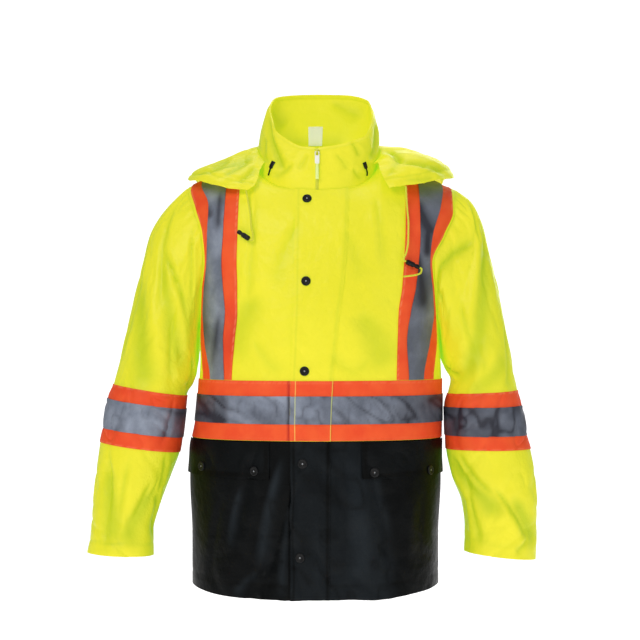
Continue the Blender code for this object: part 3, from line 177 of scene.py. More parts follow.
# the inside face: a stronger painted glow lifts its shaded parts inside the collar and hood
insideCloth = softMaterial("coated_polyester_yellow_inside", {
    **coatedCloth, "colour": "#EAC428", "light": "#F0CA2C", "shade": "#B8A814", "drift": (5.0, 3.0, 0.5),
    "rough": (0.45, 0.60), "pucker": (34.0, 4.0, 0.55, 0.55, 0.005), "glow": (0.36, "#A4EE2D"),
    "shader": {"IOR": 1.46, "Specular IOR Level": 0.25}})
# black cloth: its base colour shows only where a painted sheen is laid on; elsewhere the painted shade takes it to near
# black
blackCloth = softMaterial("coated_polyester_black", {
    **coatedCloth, "colour": "#1C2125", "light": "#252B30", "shade": "#020303", "drift": (6.0, 3.0, 0.5),
    "rough": (0.34, 0.48), "pucker": (34.0, 4.0, 0.55, 0.55, 0.005),
    "shader": {"IOR": 1.46, "Specular IOR Level": 0.10}})
# the neck label is the same weave without the film, so it is matt
whiteLabel = softMaterial("woven_label_white", {
    **coatedCloth, "colour": "#F0F0EC", "light": "#F8F8F4", "shade": "#CCCCC0", "drift": (9.0, 3.0, 0.5),
    "rough": (0.60, 0.70), "pucker": (34.0, 4.0, 0.55, 0.55, 0.001),
    "shader": {"IOR": 1.46, "Specular IOR Level": 0.30}})
# woven fluorescent tape: ribs of 0.9 mm, and stitches that sit in small dents; a faint painted glow for its
# fluorescence, and painted shade in its creases
orangeTape = softMaterial("woven_tape_orange", {
    "weave": 0.0009, "fine": (0.25, 0.0003), "driftFrom": (0.35, 0.65), "drift": (30.0, 3.0, 0.5),
    "colour": "#EA481A", "light": "#F05822", "shade": "#BE2410", "thread": "#F8A070", "piping": "#F0D060",
    "pucker": (60.0, 3.0, 0.5, 0.4, 0.002), "shader": {"IOR": 1.5, "Specular IOR Level": 0.35, "Roughness": 0.62,
                                                       "Emission Color": "#EA481A", "Emission Strength": 0.07}})
# glass beads on an aluminised film: grey, grainy where beads cluster, with painted shade in creases and painted light
# and shade in its grey
silverTape = softMaterial("glass_bead_film_silver", {
    "beads": 1400.0, "fine": (0.15, 0.0002), "driftFrom": (0.36, 0.66), "drift": (22.0, 4.0, 0.6),
    "colour": "#788090", "light": "#9CA4B4", "shade": "#2C2D38", "piping": "#D8DC8C",
    "pucker": (48.0, 3.0, 0.5, 0.5, 0.003), "shader": {"IOR": 1.5, "Metallic": 0.25, "Roughness": 0.46}})
blackPlastic = mouldedPlastic("moulded_acetal_black", "#080809", 0.42, 0.12, **{"Specular IOR Level": 0.28})
zipPlastic = mouldedPlastic("moulded_acetal_yellow", "#D8DA3C", 0.42, 0.08)
whitePlastic = mouldedPlastic("moulded_acetal_white", "#F2F2EA", 0.4, 0.06)
# light grey rivet head, its lightness partly a painted glint
rivetAndGlint = mouldedPlastic("rivet_head_and_painted_glint", "#8E9094", 0.38, 0.05, Metallic=0.7)
yellowCord = braidedCord("braided_polyester_yellow", "#ECD23A", "#C8B428")
tailCord = braidedCord("woven_polyester_tail", "#F6F4B4", "#E4E08C")
print("materials made")


# Tables are written in millimetres and read in metres.
creaseUnits = (1000,) * 7 + (1,)  # both ends, bow, half width, depth; then sharpness
sheenUnits = (1000,) * 6 + (1, 1)  # both ends, bow, half width; then strength, sharpness
sleeveFoldUnits = (1,) * 4 + (1000,) * 3 + (1,)  # station and turn of both ends, bow, half width, depth; sharpness


def rowsOf(text, units):
    # rows of numbers parted by commas or lines, each divided by its column's unit
    rows = [row.split() for row in text.replace("\n", ",").split(",") if row.strip()]
    return np.array([[float(word) / per for word, per in zip(row, units)] for row in rows])


def tableOf(names, text):
    # one line of values for each name, read down the columns; the text is in millimetres
    names = names.split()
    return dict(zip(names, rowsOf(text, (1000,) * len(names)).T))


def readCurve(at, knots, values):
    # cubic through the knots with harmonic-mean slopes, so it never overshoots; a value may be a row or grid
    at, knots, values = (np.asarray(each, float) for each in (at, knots, values))
    wide = (...,) + (None,) * (values.ndim - 1)
    step = np.diff(knots)
    rise = np.diff(values, axis=0) / step[wide]
    both = rise[:-1] * rise[1:] > 0
    total = np.where(both, rise[:-1] + rise[1:], 1.0)
    slope = np.concatenate([rise[:1], np.where(both, 2 * rise[:-1] * rise[1:] / total, 0.0), rise[-1:]])
    at = np.clip(at, knots[0], knots[-1])
    i = np.clip(np.searchsorted(knots, at, side="right") - 1, 0, len(step) - 1)
    s, step = ((at - knots[i]) / step[i])[wide], step[i][wide]
    near = values[i] * (1 + 2 * s) * (1 - s) ** 2 + slope[i] * step * s * (1 - s) ** 2
    return near + values[i + 1] * s * s * (3 - 2 * s) + slope[i + 1] * step * s * s * (s - 1)


def softStep(share):
    # 0 to 1 with level ends: 3 s ** 2 - 2 s ** 3
    share = np.clip(share, 0, 1)
    return share * share * (3 - 2 * share)


def bell(distance, width, power=2):
    # 1 at distance 0, falling off as exp(-(distance / width) ** power)
    return np.exp(-(distance / width) ** power)


def unit(vectors):
    # each vector over its own length
    return vectors / np.maximum(np.linalg.norm(vectors, axis=-1, keepdims=True), 1e-12)


def runs(points, axis):
    # distance along the grid in one direction, from its first edge
    total = np.cumsum(np.linalg.norm(np.diff(points, axis=axis), axis=-1), axis=axis)
    return np.concatenate([np.zeros_like(np.take(total, [0], axis=axis)), total], axis=axis)


def between(first, last, spacing):
    # evenly spaced fractional rows or columns, `spacing` of them to one CAD step
    return np.linspace(first, last, max(2, int(round(abs(last - first) * spacing)) + 1))


def unevenness(u, v, size, seed, octaves=3):
    # smooth value noise: random heights on a lattice of the given size, blended with soft steps,
    # each octave half the size and 0.55 of the height of the last; -1 to 1
    total, weight, sumWeight = np.zeros(np.broadcast(u, v).shape), 1.0, 0.0
    cells = 64
    for octave in range(octaves):
        lattice = np.random.default_rng(seed + 17 * octave).uniform(-1, 1, (cells, cells))
        a, b = u / size * 2**octave + 31.0, v / size * 2**octave + 29.0
        i, j = np.floor(a).astype(int), np.floor(b).astype(int)
        s, t = softStep(a - i), softStep(b - j)
        i0, i1, j0, j1 = i % cells, (i + 1) % cells, j % cells, (j + 1) % cells
        low = lattice[i0, j0] * (1 - s) + lattice[i1, j0] * s
        high = lattice[i0, j1] * (1 - s) + lattice[i1, j1] * s
        total = total + weight * (low * (1 - t) + high * t)
        sumWeight += weight
        weight *= 0.55
    return total / sumWeight


def facets(u, v, size, seed):
    # 0 on flat facets, rising to 1 on the thin lines between them: (1 - 3.2 * |noise|) cut at 0, squared
    return np.clip(1 - 3.2 * np.abs(unevenness(u, v, size, seed, octaves=2)), 0, 1) ** 2


def creases(u, v, lines):
    # along a line from (u0, v0) to (u1, v1), bowed aside by `bow`, the height is
    # depth * exp(-(distance / width) ** power), with a lip of the opposite sign beside it, fading in at
    # both ends. Returns the height and the painted shade down in the line
    height = np.zeros(np.broadcast(u, v).shape)
    creaseShade = np.zeros_like(height)
    fullDepth = 0.006  # a trough this deep gets the full painted shade
    for u0, v0, u1, v1, bow, width, depth, power in lines:
        length = math.hypot(u1 - u0, v1 - v0)
        runU, runV = (u1 - u0) / length, (v1 - v0) / length
        along = ((u - u0) * runU + (v - v0) * runV) / length
        onLine = np.clip(along, 0, 1)
        aside = (u - u0) * runV - (v - v0) * runU - bow * 4 * onLine * (1 - onLine)
        fade = softStep(along * 3.5 + 0.25) * softStep((1 - along) * 3.5 + 0.25)
        taper = width * (0.65 + 0.7 * onLine)
        core = bell(np.abs(aside), taper, power)
        height = height + depth * fade * (core - 0.38 * bell(aside - 1.7 * taper, 0.9 * taper))
        if depth < 0:
            creaseShade = np.maximum(creaseShade, fade * core * min(1.0, -depth / fullDepth))
    return height, creaseShade


def meshOf(name, points, faces):
    # whole arrays or lists of points and faces into a new mesh
    mesh = bpy.data.meshes.new(name)
    mesh.from_pydata(points, [], faces)
    return mesh


def placed(name, replaced, data, looks, body="jacket", angle=50):
    # in the scene, on its body and in place of one CAD node; edges sharper than the angle stay crisp
    data.materials.append(looks)
    if angle:
        data.shade_smooth()
        data.set_sharp_from_angle(angle=math.radians(angle))
    made = bpy.data.objects.new(name, data)
    bpy.context.scene.collection.objects.link(made)
    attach(made, body)
    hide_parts(replaced)
    return made


def ringFaces(number):
    # quads between neighbouring rows of a grid of vertex numbers, each row closed on itself
    after = np.roll(number, -1, axis=1)
    return np.stack([number[:-1], after[:-1], after[1:], number[1:]], axis=-1).reshape(-1, 4)


# Drawcords, their locks and the free end: the routes are the CAD's own points.
cordValues = {"diameter": 0.0032, "step": 0.004}
cordRoutes = {
    "drawcord_right": ((-0.1207, -0.1078, -0.0437), (-0.1175, -0.1125, -0.0600), (-0.1130, -0.1200, -0.0850),
                       (-0.1110, -0.1250, -0.1080), (-0.1082, -0.1280, -0.1210), (-0.1085, -0.1295, -0.1290),
                       (-0.1118, -0.1292, -0.1302), (-0.1136, -0.1278, -0.1282)),
    "drawcord_left": ((0.1510, -0.1070, -0.0363), (0.1528, -0.1098, -0.0700), (0.1550, -0.1160, -0.1000),
                      (0.1545, -0.1190, -0.1300), (0.1505, -0.1215, -0.1520), (0.1468, -0.1232, -0.1600),
                      (0.1472, -0.1233, -0.1636), (0.1502, -0.1219, -0.1648)),
    "drawcord_left_end": ((0.1745, -0.1105, -0.1752), (0.1778, -0.1091, -0.1770), (0.1765, -0.1120, -0.1835),
                          (0.1700, -0.1162, -0.1870), (0.1590, -0.1205, -0.1890), (0.1465, -0.1245, -0.1905)),
}
lockValues = {"radius": 0.0044, "sides": 40,
              "profile": ((0.0, 0.0), (0.50, 0.0), (0.70, 0.01), (0.92, 0.04), (1.0, 0.09), (1.0, 0.30), (0.95, 0.32),
                          (0.95, 0.35), (1.0, 0.37), (1.0, 0.54), (0.93, 0.575), (0.70, 0.59), (0.68, 0.70),
                          (0.74, 0.735), (0.86, 0.765), (0.87, 0.88), (0.80, 0.95), (0.60, 0.985), (0.0, 1.0))}
lockPlaces = {
    "cord_lock_right": ((-0.1145, -0.1272, -0.1272), (-0.1345, -0.1215, -0.1135)),
    "cord_lock_left": ((0.1512, -0.1214, -0.1652), (0.1735, -0.1110, -0.1748)),
}


def lathe(name, profile, start, end, sides, scale):
    # a closed solid turned about the line from start to end: profile of (radius, share of the length)
    start, end = np.array(start, float), np.array(end, float)
    length = np.linalg.norm(end - start)
    axis = (end - start) / length
    beside = unit(np.cross(axis, [0.0, 0.3, 1.0]))
    angle = 2 * math.pi * np.arange(sides) / sides
    spokes = np.cos(angle)[:, None] * beside + np.sin(angle)[:, None] * np.cross(axis, beside)
    radius, height = np.array(profile).T * np.array([[scale], [length]])
    rings = start + spokes[None] * radius[1:-1, None, None] + axis * height[1:-1, None, None]
    points = np.concatenate([rings.reshape(-1, 3), [start + axis * height[0]], [start + axis * height[-1]]])
    number = np.arange(rings.shape[0] * sides).reshape(-1, sides)
    after = np.roll(number, -1, axis=1)
    bottom = np.stack([after[0], number[0], np.full(sides, len(points) - 2)], axis=1)
    top = np.stack([number[-1], after[-1], np.full(sides, len(points) - 1)], axis=1)
    return meshOf(name, points, ringFaces(number).tolist() + bottom.tolist() + top.tolist())


for name, route in cordRoutes.items():
    # places evenly spaced on the curve through the route's points
    route = np.array(route)
    run = runs(route[:, None], 0)[:, 0]
    places = readCurve(np.linspace(0, run[-1], max(15, round(run[-1] / cordValues["step"]) + 1)), run, route)
    curve = bpy.data.curves.new(name + "_braid", "CURVE")
    curve.dimensions = "3D"
    curve.bevel_depth = cordValues["diameter"] / 2
    curve.bevel_resolution = 6
    curve.use_fill_caps = True
    spline = curve.splines.new("POLY")
    spline.points.add(len(places) - 1)
    spline.points.foreach_set("co", np.c_[places, np.ones(len(places))].ravel())
    spline.use_smooth = True
    placed(name + "_braid", name, curve, yellowCord, angle=None)
for name, (start, end) in lockPlaces.items():
    mesh = lathe(name + "_barrel", lockValues["profile"], start, end, lockValues["sides"], lockValues["radius"])
    placed(name + "_barrel", name, mesh, blackPlastic, angle=32)
print("cords made")


# The body, as the CAD part has it: heights, half widths and depths of its sections, places of its lines.
hemFront, hemSide, hemBack = -0.7360, -0.7220, -0.7300
tapeBottom, silverBottom, silverTop, tapeTop = -0.4680, -0.4395, -0.3925, -0.3665
rollStart, tableTop, neckCorner = -0.1200, -0.0300, 0.1075
lowShares = (1.0, 0.80, 0.60, 0.42, 0.238, 0.0)
bodyRows = np.array([tapeBottom + (hemFront - tapeBottom) * s for s in lowShares]
                    + [silverBottom, silverTop, tapeTop, -0.330, -0.290, -0.250, -0.210, -0.165]
                    + [rollStart + (tableTop - rollStart) * k / 6 for k in range(7)])
rowPocket, rowTapeBottom, rowSilverBottom, rowSilverTop, rowTapeTop, rowUnderarm, rowTop = 4, 5, 6, 7, 8, 10, 20
frontSideColumn, backSideColumn = 14, 12

bodySize = tableOf("z right left front back", """
    -740 219 213 152 142, -650 219 212.5 151 140, -544 223 217 149 136, -490 221.5 216.8 147 134
    -436 212.4 218 145 132, -370 207 218 146 130, -330 205 216.5 147 130, -290 206 214.5 147 130
    -200 212 221 142 126, -120 222 236 132 116, -90 230 248 130 114, -60 236 250 130 114
    -30 238 250 130 114""")
frontLineNames = "z flap pocket braceIn silverIn silverOut braceOut armhole"
frontLines = {
    "right": tableOf(frontLineNames, """
    -737 45.3 80 146 160 184 199 219, -468 45.3 80 145 158 182.5 197 219
    -366 44.3 80 144.4 157 181.7 196.2 219, -300 41.5 80 139.5 159 192 201 219
    -250 39.5 80 135 155.5 195 199.5 203.5, -210 39 80 135 159 193 197.5 201.2
    -165 38.5 80 136.2 162 188 192.2 195.8, -120 38 80 135 159.5 187 195.5 199.5
    -90 37.8 80 133.2 156.5 185 208.5 213, -60 37.5 79 131 154.2 199.5 219.5 224
    -30 37 78 129 152 199 214 226"""),
    "left": tableOf(frontLineNames, """
    -737 21 75.5 136 156 182 201 219, -468 22.5 75 135 155 181 200 219
    -366 26.8 74.5 134.6 155 180.6 199.4 219, -300 33.5 76 136.2 151.6 192 206 219
    -250 38.5 78 138 158.5 199 203.8 208, -210 44 79 144 167 196.5 200.5 204.5
    -165 48.5 80 147.5 172.5 192 196.5 200.5, -120 51.8 80 150 175.5 196.5 216.5 220.5
    -90 53 80 151 175 210.5 234.5 239, -60 54 80 151.6 173.5 217.5 234.5 240
    -30 54 79 151.6 172.1 214 231 236"""),
}
backLineNames = "bladeIn blade bladeOut corner braceIn silverIn silverOut braceOut"
backLines = tableOf("z " + backLineNames + " armhole", """
    -737 18 36 53 68 87 112 158 181 219, -366 18 36 53 68 85 110 156 179 219
    -300 18 36 53 68 85 110 156 179 219, -250 19 37 54 70 86.5 111 157 179.5 196.5
    -165 20 40 59 76 93 117 160 180 187, -120 22 44 65 84 101 125 166 183.5 190.5
    -60 26 51 75 98 118 142 186 201 210.5, -30 30 58 85 107.5 129 152 199 214 226""")
neckFront = tableOf("x y z", """
    -20 -99 -42, 0 -100 -42.4, 37 -95 -40.5, 60 -85 -36, 80 -68 -28, 97 -38 -12, 107.5 10 10""")
neckBack = tableOf("x y z", """
    0 85 32, 30 82 31.2, 58 72 28.5, 85 50 22.5, 107.5 10 10""")
shoulderSeam = tableOf("x y z", """
    107.5 10 10, 150 10 -1, 190 8 -14, 226 5 -30, 245 4 -34""")
bodyValues = {"power": 2.3, "zipGap": 0.0028, "hemRipple": 0.0035, "slowWave": 0.0022, "pucker": 0.0007,
              "facet": 0.0007, "blackFacet": 0.0020}
bodyMiddle = np.array([0.0, 0.0, -0.25])

# Folds of the body, front and back: x and z of both ends, bow, half width, depth, sharpness.
bodyFolds = {
    "front": rowsOf("""
    -60 -560 -130 -730 4 22 -5 2, -105 -560 -165 -735 -4 20 4 2, 60 -600 100 -735 3 24 -4 2
    150 -540 165 -730 3 22 3.5 2, -100 -220 -150 -330 6 24 -4.5 2, 70 -250 120 -345 -6 24 -4 2
    -20 -520 -85 -735 10 13 -6.5 1.4, -45 -600 -22 -735 4 8 -4.5 1.3, -100 -480 -135 -640 6 10 -4.5 1.4
    85 -500 125 -735 -8 14 -7 1.4, 35 -500 50 -600 4 8 -4 1.3, 60 -690 110 -735 3 8 -4.5 1.3
    -120 -700 -70 -665 4 8 -4 1.3, 10 -700 50 -680 3 7 -3.5 1.3, -100 -60 -116 -250 3 6 -2.6 1.5
    98 -50 112 -170 -3 7 -2.2 1.5, -30 -100 -70 -210 6 12 -2 1.6, 45 -110 75 -200 -5 12 -1.8 1.6
    -110 -290 -60 -355 5 10 -2.2 1.5, 110 -300 60 -355 -5 10 -2 1.5, 20 -320 75 -356 4 9 -1.8 1.5
    -120 -495 -75 -560 5 10 -2.4 1.5, -160 -560 -182 -720 4 8 -3.5 1.5, -75 -600 -100 -730 -4 7 -3.4 1.4
    -35 -560 -50 -700 3 8 -2.8 1.5, 40 -560 55 -650 -3 10 -2.4 1.5, 115 -590 130 -725 4 9 -3 1.5
    180 -560 176 -700 3 9 -3 1.5, 5 -660 30 -735 2 8 -2.2 1.5, -140 -640 -90 -690 4 8 -2.2 1.4""", creaseUnits),
    "back": rowsOf("""
    -70 -300 -20 -430 6 26 -5 2, 110 -260 60 -400 6 26 -4.5 2, -120 -560 -140 -730 4 24 -4.5 2
    20 -580 30 -730 4 26 -4 2, 130 -560 150 -730 4 24 4 2, -50 -100 -120 -230 10 12 -2.8 1.5
    60 -90 125 -220 -10 12 -2.6 1.5, -30 -200 70 -290 10 12 -2.6 1.5, -130 -250 -40 -340 8 10 -2.6 1.5
    20 -300 100 -352 6 9 -2.4 1.5, -80 -520 -50 -700 4 9 -3 1.5, 70 -510 90 -700 -4 9 -3 1.5
    -165 -540 -175 -700 3 9 -3 1.5, 170 -540 165 -700 3 9 -3 1.5""", creaseUnits),
}


def zipLine(z):
    # the zip runs 10 mm to the wearer's right on its way down
    return -0.010 * (neckFront["z"][1] - z) / (neckFront["z"][1] - hemFront)


def topLine(x, isFront):
    # neckline, then shoulder seam: depth and height over the distance from the middle
    neck = neckFront if isFront else neckBack
    return [np.where(np.abs(x) <= neckCorner, readCurve(x, neck["x"], neck[axis]),
                     readCurve(x, shoulderSeam["x"], shoulderSeam[axis])) for axis in "yz"]


def turnsAt(side, isFront, level, columns):
    # angle round the section at fractional columns: asin((x / half) ** (power / 2)) at the named lines,
    # then even steps from the last line on to the armhole or the side
    half = readCurve(level, bodySize["z"], bodySize[side])
    lines = frontLines[side] if isFront else backLines
    at = {name: readCurve(level, lines["z"], line) for name, line in lines.items()}
    if isFront:
        zipEdge = (1 if side == "left" else -1) * zipLine(level) + bodyValues["zipGap"]
        flap, pocket = at["flap"], at["pocket"]
        places = [zipEdge, (zipEdge + flap) / 2, flap, (flap + pocket) / 2, pocket,
                  (pocket + neckCorner) / 2 + 0.003, np.full(level.shape, neckCorner),
                  at["braceIn"], at["silverIn"], at["silverOut"], at["braceOut"]]
    else:
        # towards the shoulder seam the back's lines move over to meet the front's
        ends = {**frontLines[side], "corner": [neckCorner]}
        rolled = np.clip((level - rollStart) / (tableTop - rollStart), 0, 1)
        at = {name: line + (ends.get(name, lines[name])[-1] - lines[name][-1]) * rolled**2
              for name, line in at.items()}
        places = [np.zeros(level.shape)] + [at[name] for name in backLineNames.split()]
    turns = [np.arcsin(np.clip(place / half, 0, 1) ** (bodyValues["power"] / 2)) for place in places + [at["armhole"]]]
    last = np.where(level > bodyRows[rowUnderarm] + 1e-6, turns.pop(), math.pi / 2)
    turns += [turns[-1] * (1 - k / 4) + last * k / 4 for k in range(1, 5)]
    turns = np.array(turns)
    column = np.clip(columns, 0, len(turns) - 1)
    j = np.clip(np.floor(column).astype(int), 0, len(turns) - 2)
    s = (column - j)[None, :]
    return turns[j].T * (1 - s) + turns[j + 1].T * s, half


def bodyHalf(side, isFront, rows, columns):
    # one front or half the back at fractional rows and columns. Each section is a rounded oblong,
    # x = half * sin(turn) ** (2 / power) and y = depth * cos(turn) ** (2 / power); above the chest it rolls
    # over to the shoulder seam on a quarter turn, and the folds are laid in
    rows, columns = np.atleast_1d(rows).astype(float), np.atleast_1d(columns).astype(float)
    values, power, outward = bodyValues, 2 / bodyValues["power"], -1 if isFront else 1
    heights = np.interp(rows, np.arange(len(bodyRows)), bodyRows)
    turn, half = turnsAt(side, isFront, heights, columns)
    level = heights[:, None]
    depth = readCurve(np.minimum(heights, rollStart), bodySize["z"], bodySize["front" if isFront else "back"])
    x = half[:, None] * np.abs(np.sin(turn)) ** power
    y = depth[:, None] * np.clip(np.cos(turn), 0, 1) ** power * outward
    hemMiddle = hemFront if isFront else hemBack
    hem = hemMiddle + (hemSide - hemMiddle) * np.sin(turn) ** 3
    share = (level - tapeBottom) / (hemFront - tapeBottom)
    z = np.where(level < tapeBottom, tapeBottom + (hem - tapeBottom) * share, level)
    topTurn, topHalf = turnsAt(side, isFront, np.array([tableTop]), columns)
    topX = (topHalf[:, None] * np.abs(np.sin(topTurn)) ** power)[0]
    seamY, seamZ = topLine(topX, isFront)
    rolled = np.clip((level - rollStart) / (tableTop - rollStart), 0, 1)
    roundOver = 0.35 + 0.65 * np.clip(topX / neckCorner, 0, 1) ** 2
    rise = roundOver * np.sin(rolled * math.pi / 2) + (1 - roundOver) * rolled
    ease = roundOver * np.cos(rolled * math.pi / 2) + (1 - roundOver) * (1 - rolled)
    y = np.where(rolled > 0, seamY + (y - seamY) * ease, y)
    z = np.where(rolled > 0, rollStart + (seamZ - rollStart) * rise, z)
    x = x * (1 if side == "left" else -1)
    ripple = values["hemRipple"] * unevenness(x, 0.0 * x, 0.055, 7 if isFront else 8) * np.cos(turn)
    z = z + ripple * softStep((tapeBottom - 0.1 - z) / 0.15)
    height, creaseShade = creases(x, z, bodyFolds["front" if isFront else "back"])
    seed = 3 if isFront else 11
    slow = unevenness(x, z, 0.11, seed) * values["slowWave"]
    slow = slow + unevenness(x * 1.3, z, 0.034, seed + 5) * values["pucker"]
    low = softStep((tapeBottom - z) / 0.03)
    slow = slow - facets(x + 0.4 * z, z * 0.6, 0.060, seed + 9) * (values["facet"] + values["blackFacet"] * low)
    calm = np.cos(turn) * softStep((1 - rolled) * 3) * softStep((z - hemMiddle + 0.004) / 0.03 + 0.35)
    y = y + (height + slow) * calm * outward
    return np.stack([x, y, z], axis=-1), creaseShade * calm


def bothHalves(isFront, rows, columns):
    # columns below 0 are on the wearer's right half, the others on the left
    columns = np.atleast_1d(columns).astype(float)
    found = [bodyHalf(side, isFront, rows, np.abs(columns[pick]))
             for side, pick in (("right", columns < 0), ("left", columns >= 0)) if np.any(pick)]
    return [np.concatenate(each, axis=1) for each in zip(*found)]


def clothAt(panel, rows, columns):
    # the body's surface by panel; the back's columns run from -12 on the wearer's right to 12
    return bothHalves(False, rows, columns) if panel == "back" else bodyHalf(panel, True, rows, columns)


def panelsAround(rows, columns, first, frontLast, backLast):
    # from column `first` of the right front to its `frontLast`, the back from -backLast to backLast, and
    # the left front down to `first`, counted on from 0
    middle = frontLast - first + backLast
    onRight, onLeft = columns <= frontLast - first, columns >= middle + backLast
    found = (bodyHalf("right", True, rows, columns[onRight] + first),
             bothHalves(False, rows, columns[~onRight & ~onLeft] - middle),
             bodyHalf("left", True, rows, first + 2 * middle - columns[onLeft]))
    return [np.concatenate(each, axis=1) for each in zip(*found)]


def gridNormals(points, middle, ring=False):
    # cross product of the two directions of the grid, turned to face away from `middle`
    down = np.gradient(points, axis=0)
    across = (np.roll(points, -1, axis=1) - np.roll(points, 1, axis=1)) / 2 if ring else np.gradient(points, axis=1)
    normals = unit(np.cross(across, down))
    return normals if np.sum(normals * (points - middle)) > 0 else -normals


def trimmedGrid(points, first=0.0, last=0.0, left=0.0, right=0.0):
    # the edges drawn in by the given distances
    points = points.copy()
    for gap, edge, near in ((first, points[0], points[1]), (last, points[-1], points[-2]),
                            (left, points[:, 0], points[:, 1]), (right, points[:, -1], points[:, -2])):
        edge += unit(near - edge) * gap
    return points


def clothPiece(name, replaced, points, normals, low, high, looks, shade=0.0, stitch=0.0, piping=0.0, inner=None,
               ring=False, body="jacket"):
    # a closed thin wall over a grid: outer face at `high`, inner face at `low` along the normals, UV in
    # metres along the cloth, the painted shade (with painted sheen), stitch and piping values kept as attributes; a
    # ring is closed by joining its last column to its first
    rows, columns = points.shape[:2]
    co = np.concatenate([points + normals * high, points + normals * low]).reshape(-1, 3)
    wide = columns + 1 if ring else columns
    under = rows * wide
    number = np.arange(under).reshape(rows, wide)
    top = np.stack([number[:-1, :-1], number[:-1, 1:], number[1:, 1:], number[1:, :-1]], axis=-1).reshape(-1, 4)

    def rim(line):
        # quads down one edge, from the outer layer to the layer under it
        return np.stack([line[:-1], line[1:], line[1:] + under, line[:-1] + under], axis=1)
    faces = [top, top[:, ::-1] + under, rim(number[0])[:, ::-1], rim(number[-1])]
    if not ring:
        faces += [rim(number[:, 0]), rim(number[:, -1])[:, ::-1]]
    faces = np.concatenate(faces)
    layer, place = faces // under, faces % under
    vertex = layer * rows * columns + (place // wide) * columns + place % wide % columns
    sample = vertex[len(top) // 2]
    facing = np.cross(co[sample[1]] - co[sample[0]], co[sample[2]] - co[sample[0]])
    if np.dot(facing, normals.reshape(-1, 3)[sample[0]]) < 0:
        faces, vertex = faces[:, ::-1], vertex[:, ::-1]
    mesh = meshOf(name, co, vertex)
    closed = np.concatenate([points, points[:, :1]], axis=1) if ring else points
    along = runs(closed[:, columns // 2:columns // 2 + 1], 0)
    across = runs(closed[rows // 2:rows // 2 + 1], 1)
    flat = np.stack(np.broadcast_arrays(across, along), axis=-1).reshape(-1, 2)
    uv = mesh.uv_layers.new(name="flat")
    uv.uv.foreach_set("vector", flat[(faces % under).ravel()].astype(np.float32).ravel())
    for key, values in (("shade", shade), ("stitch", stitch), ("piping", piping)):
        field = np.broadcast_to(values, (rows, columns)).ravel()
        mesh.attributes.new(key, "FLOAT", "POINT").data.foreach_set("value", np.tile(field, 2).astype(np.float32))
    made = placed(name, replaced, mesh, looks, body)
    if inner is not None:
        mesh.materials.append(inner)
        index = np.zeros(len(faces), np.int32)
        index[len(top):2 * len(top)] = 1
        mesh.polygons.foreach_set("material_index", index)
    return made


def stitchRows(distances, edges, length, pitch=0.003):
    # 1 on the stitches of rows at the given distances from an edge: dashes over most of the pitch
    across = np.max([bell(distances - edge, 0.0007) for edge in edges], axis=0)
    return across * softStep((0.5 + 0.5 * np.cos(2 * math.pi * length / pitch)) * 2.2)


def edgeDistances(points):
    # distances from the first row, the last row, the first column and the last column
    down, across = runs(points, 0), runs(points, 1)
    return down, down[-1:] - down, across, across[:, -1:] - across


def edgeStitches(points, pitch=0.003, **edges):
    # rows of stitches at the given distances from the grid's edges: low, high, first and last
    distances = dict(zip(("low", "high", "first", "last"), edgeDistances(points)))
    return np.max([stitchRows(distances[edge], places, distances["first" if edge in ("low", "high") else "low"], pitch)
                   for edge, places in edges.items()], axis=0)


# Fronts and back, yellow above and black below. Where a sheen is painted on the black cloth, front and
# back: x and z of both ends, bow, half width, strength, sharpness.
paintedSheenLines = {
    "front": rowsOf("""
    52 -470 66 -735 -10 30 0.75 2.2, -60 -500 -94 -680 6 10 0.85 1.6, -40 -560 -60 -730 4 8 0.6 1.5
    -128 -545 -146 -650 4 7 0.6 1.5, -100 -690 -140 -730 3 8 0.55 1.5, -10 -500 5 -730 2 14 0.6 1.8
    110 -560 122 -720 -4 8 0.45 1.5, -110 -485 -80 -515 2 6 0.4 1.5""", sheenUnits),
    "back": rowsOf("""
    -60 -480 -40 -720 8 24 0.65 2, 70 -480 90 -720 -8 22 0.6 2, 10 -540 20 -720 3 8 0.55 1.5
    -120 -520 -140 -700 4 10 0.5 1.6, 140 -540 150 -700 3 8 0.45 1.5""", sheenUnits),
}
flapValues = {"thick": 0.0016, "gap": 0.0004, "wave": 0.0022, "snapPitch": 0.1465, "edgeStitch": 0.006,
              "edgeLine": -0.0475, "edgeWidth": 0.0026}
panelValues = {"thick": 0.0014, "dent": 0.0006, "seamGap": 0.0002, "hemStitch": (0.020, 0.0235), "topStitch": (0.0045,)}
bodyParts = (("", rowTapeBottom, rowTop, yellowCloth, insideCloth), ("_hem", 0, rowTapeBottom, blackCloth, blackCloth))


def flapEdgePaintedShadow(points):
    # a painted shadow: the dark line along the storm flap's free edge, on what lies just beyond it
    return np.where(points[..., 1] < 0, bell(points[..., 0] - flapValues["edgeLine"], flapValues["edgeWidth"]), 0.0)


def blackPaintedSheen(points):
    # painted sheen and shade on the black cloth, 1 the deepest black: 0.95 less the painted sheen lines and a painted
    # lit middle, a little random mottling, and the flap edge's painted shadow
    x, y, z = points[..., 0], points[..., 1], points[..., 2]
    lit = 0.0
    for name, side in (("front", y < 0), ("back", y >= 0)):
        for line in paintedSheenLines[name]:
            height = creases(x, z, [(*line[:6], 1.0, line[7])])[0]
            lit = np.maximum(lit, np.where(side, np.clip(height, 0, 1) * line[6], 0.0))
    crumple = facets(x + 0.3 * z, z * 0.7, 0.035, 57)
    middle = softStep((x + 0.0455) / 0.002) * softStep((0.112 - 0.03 * (z + 0.48) / 0.25 - x) / 0.02) * (y < 0)
    deep = 0.95 - np.maximum(lit, 0.42 * middle) * (1 - 0.6 * crumple) - 0.07 * unevenness(x, z, 0.04, 58)
    return np.clip(np.maximum(deep, flapEdgePaintedShadow(points)), 0, 1)


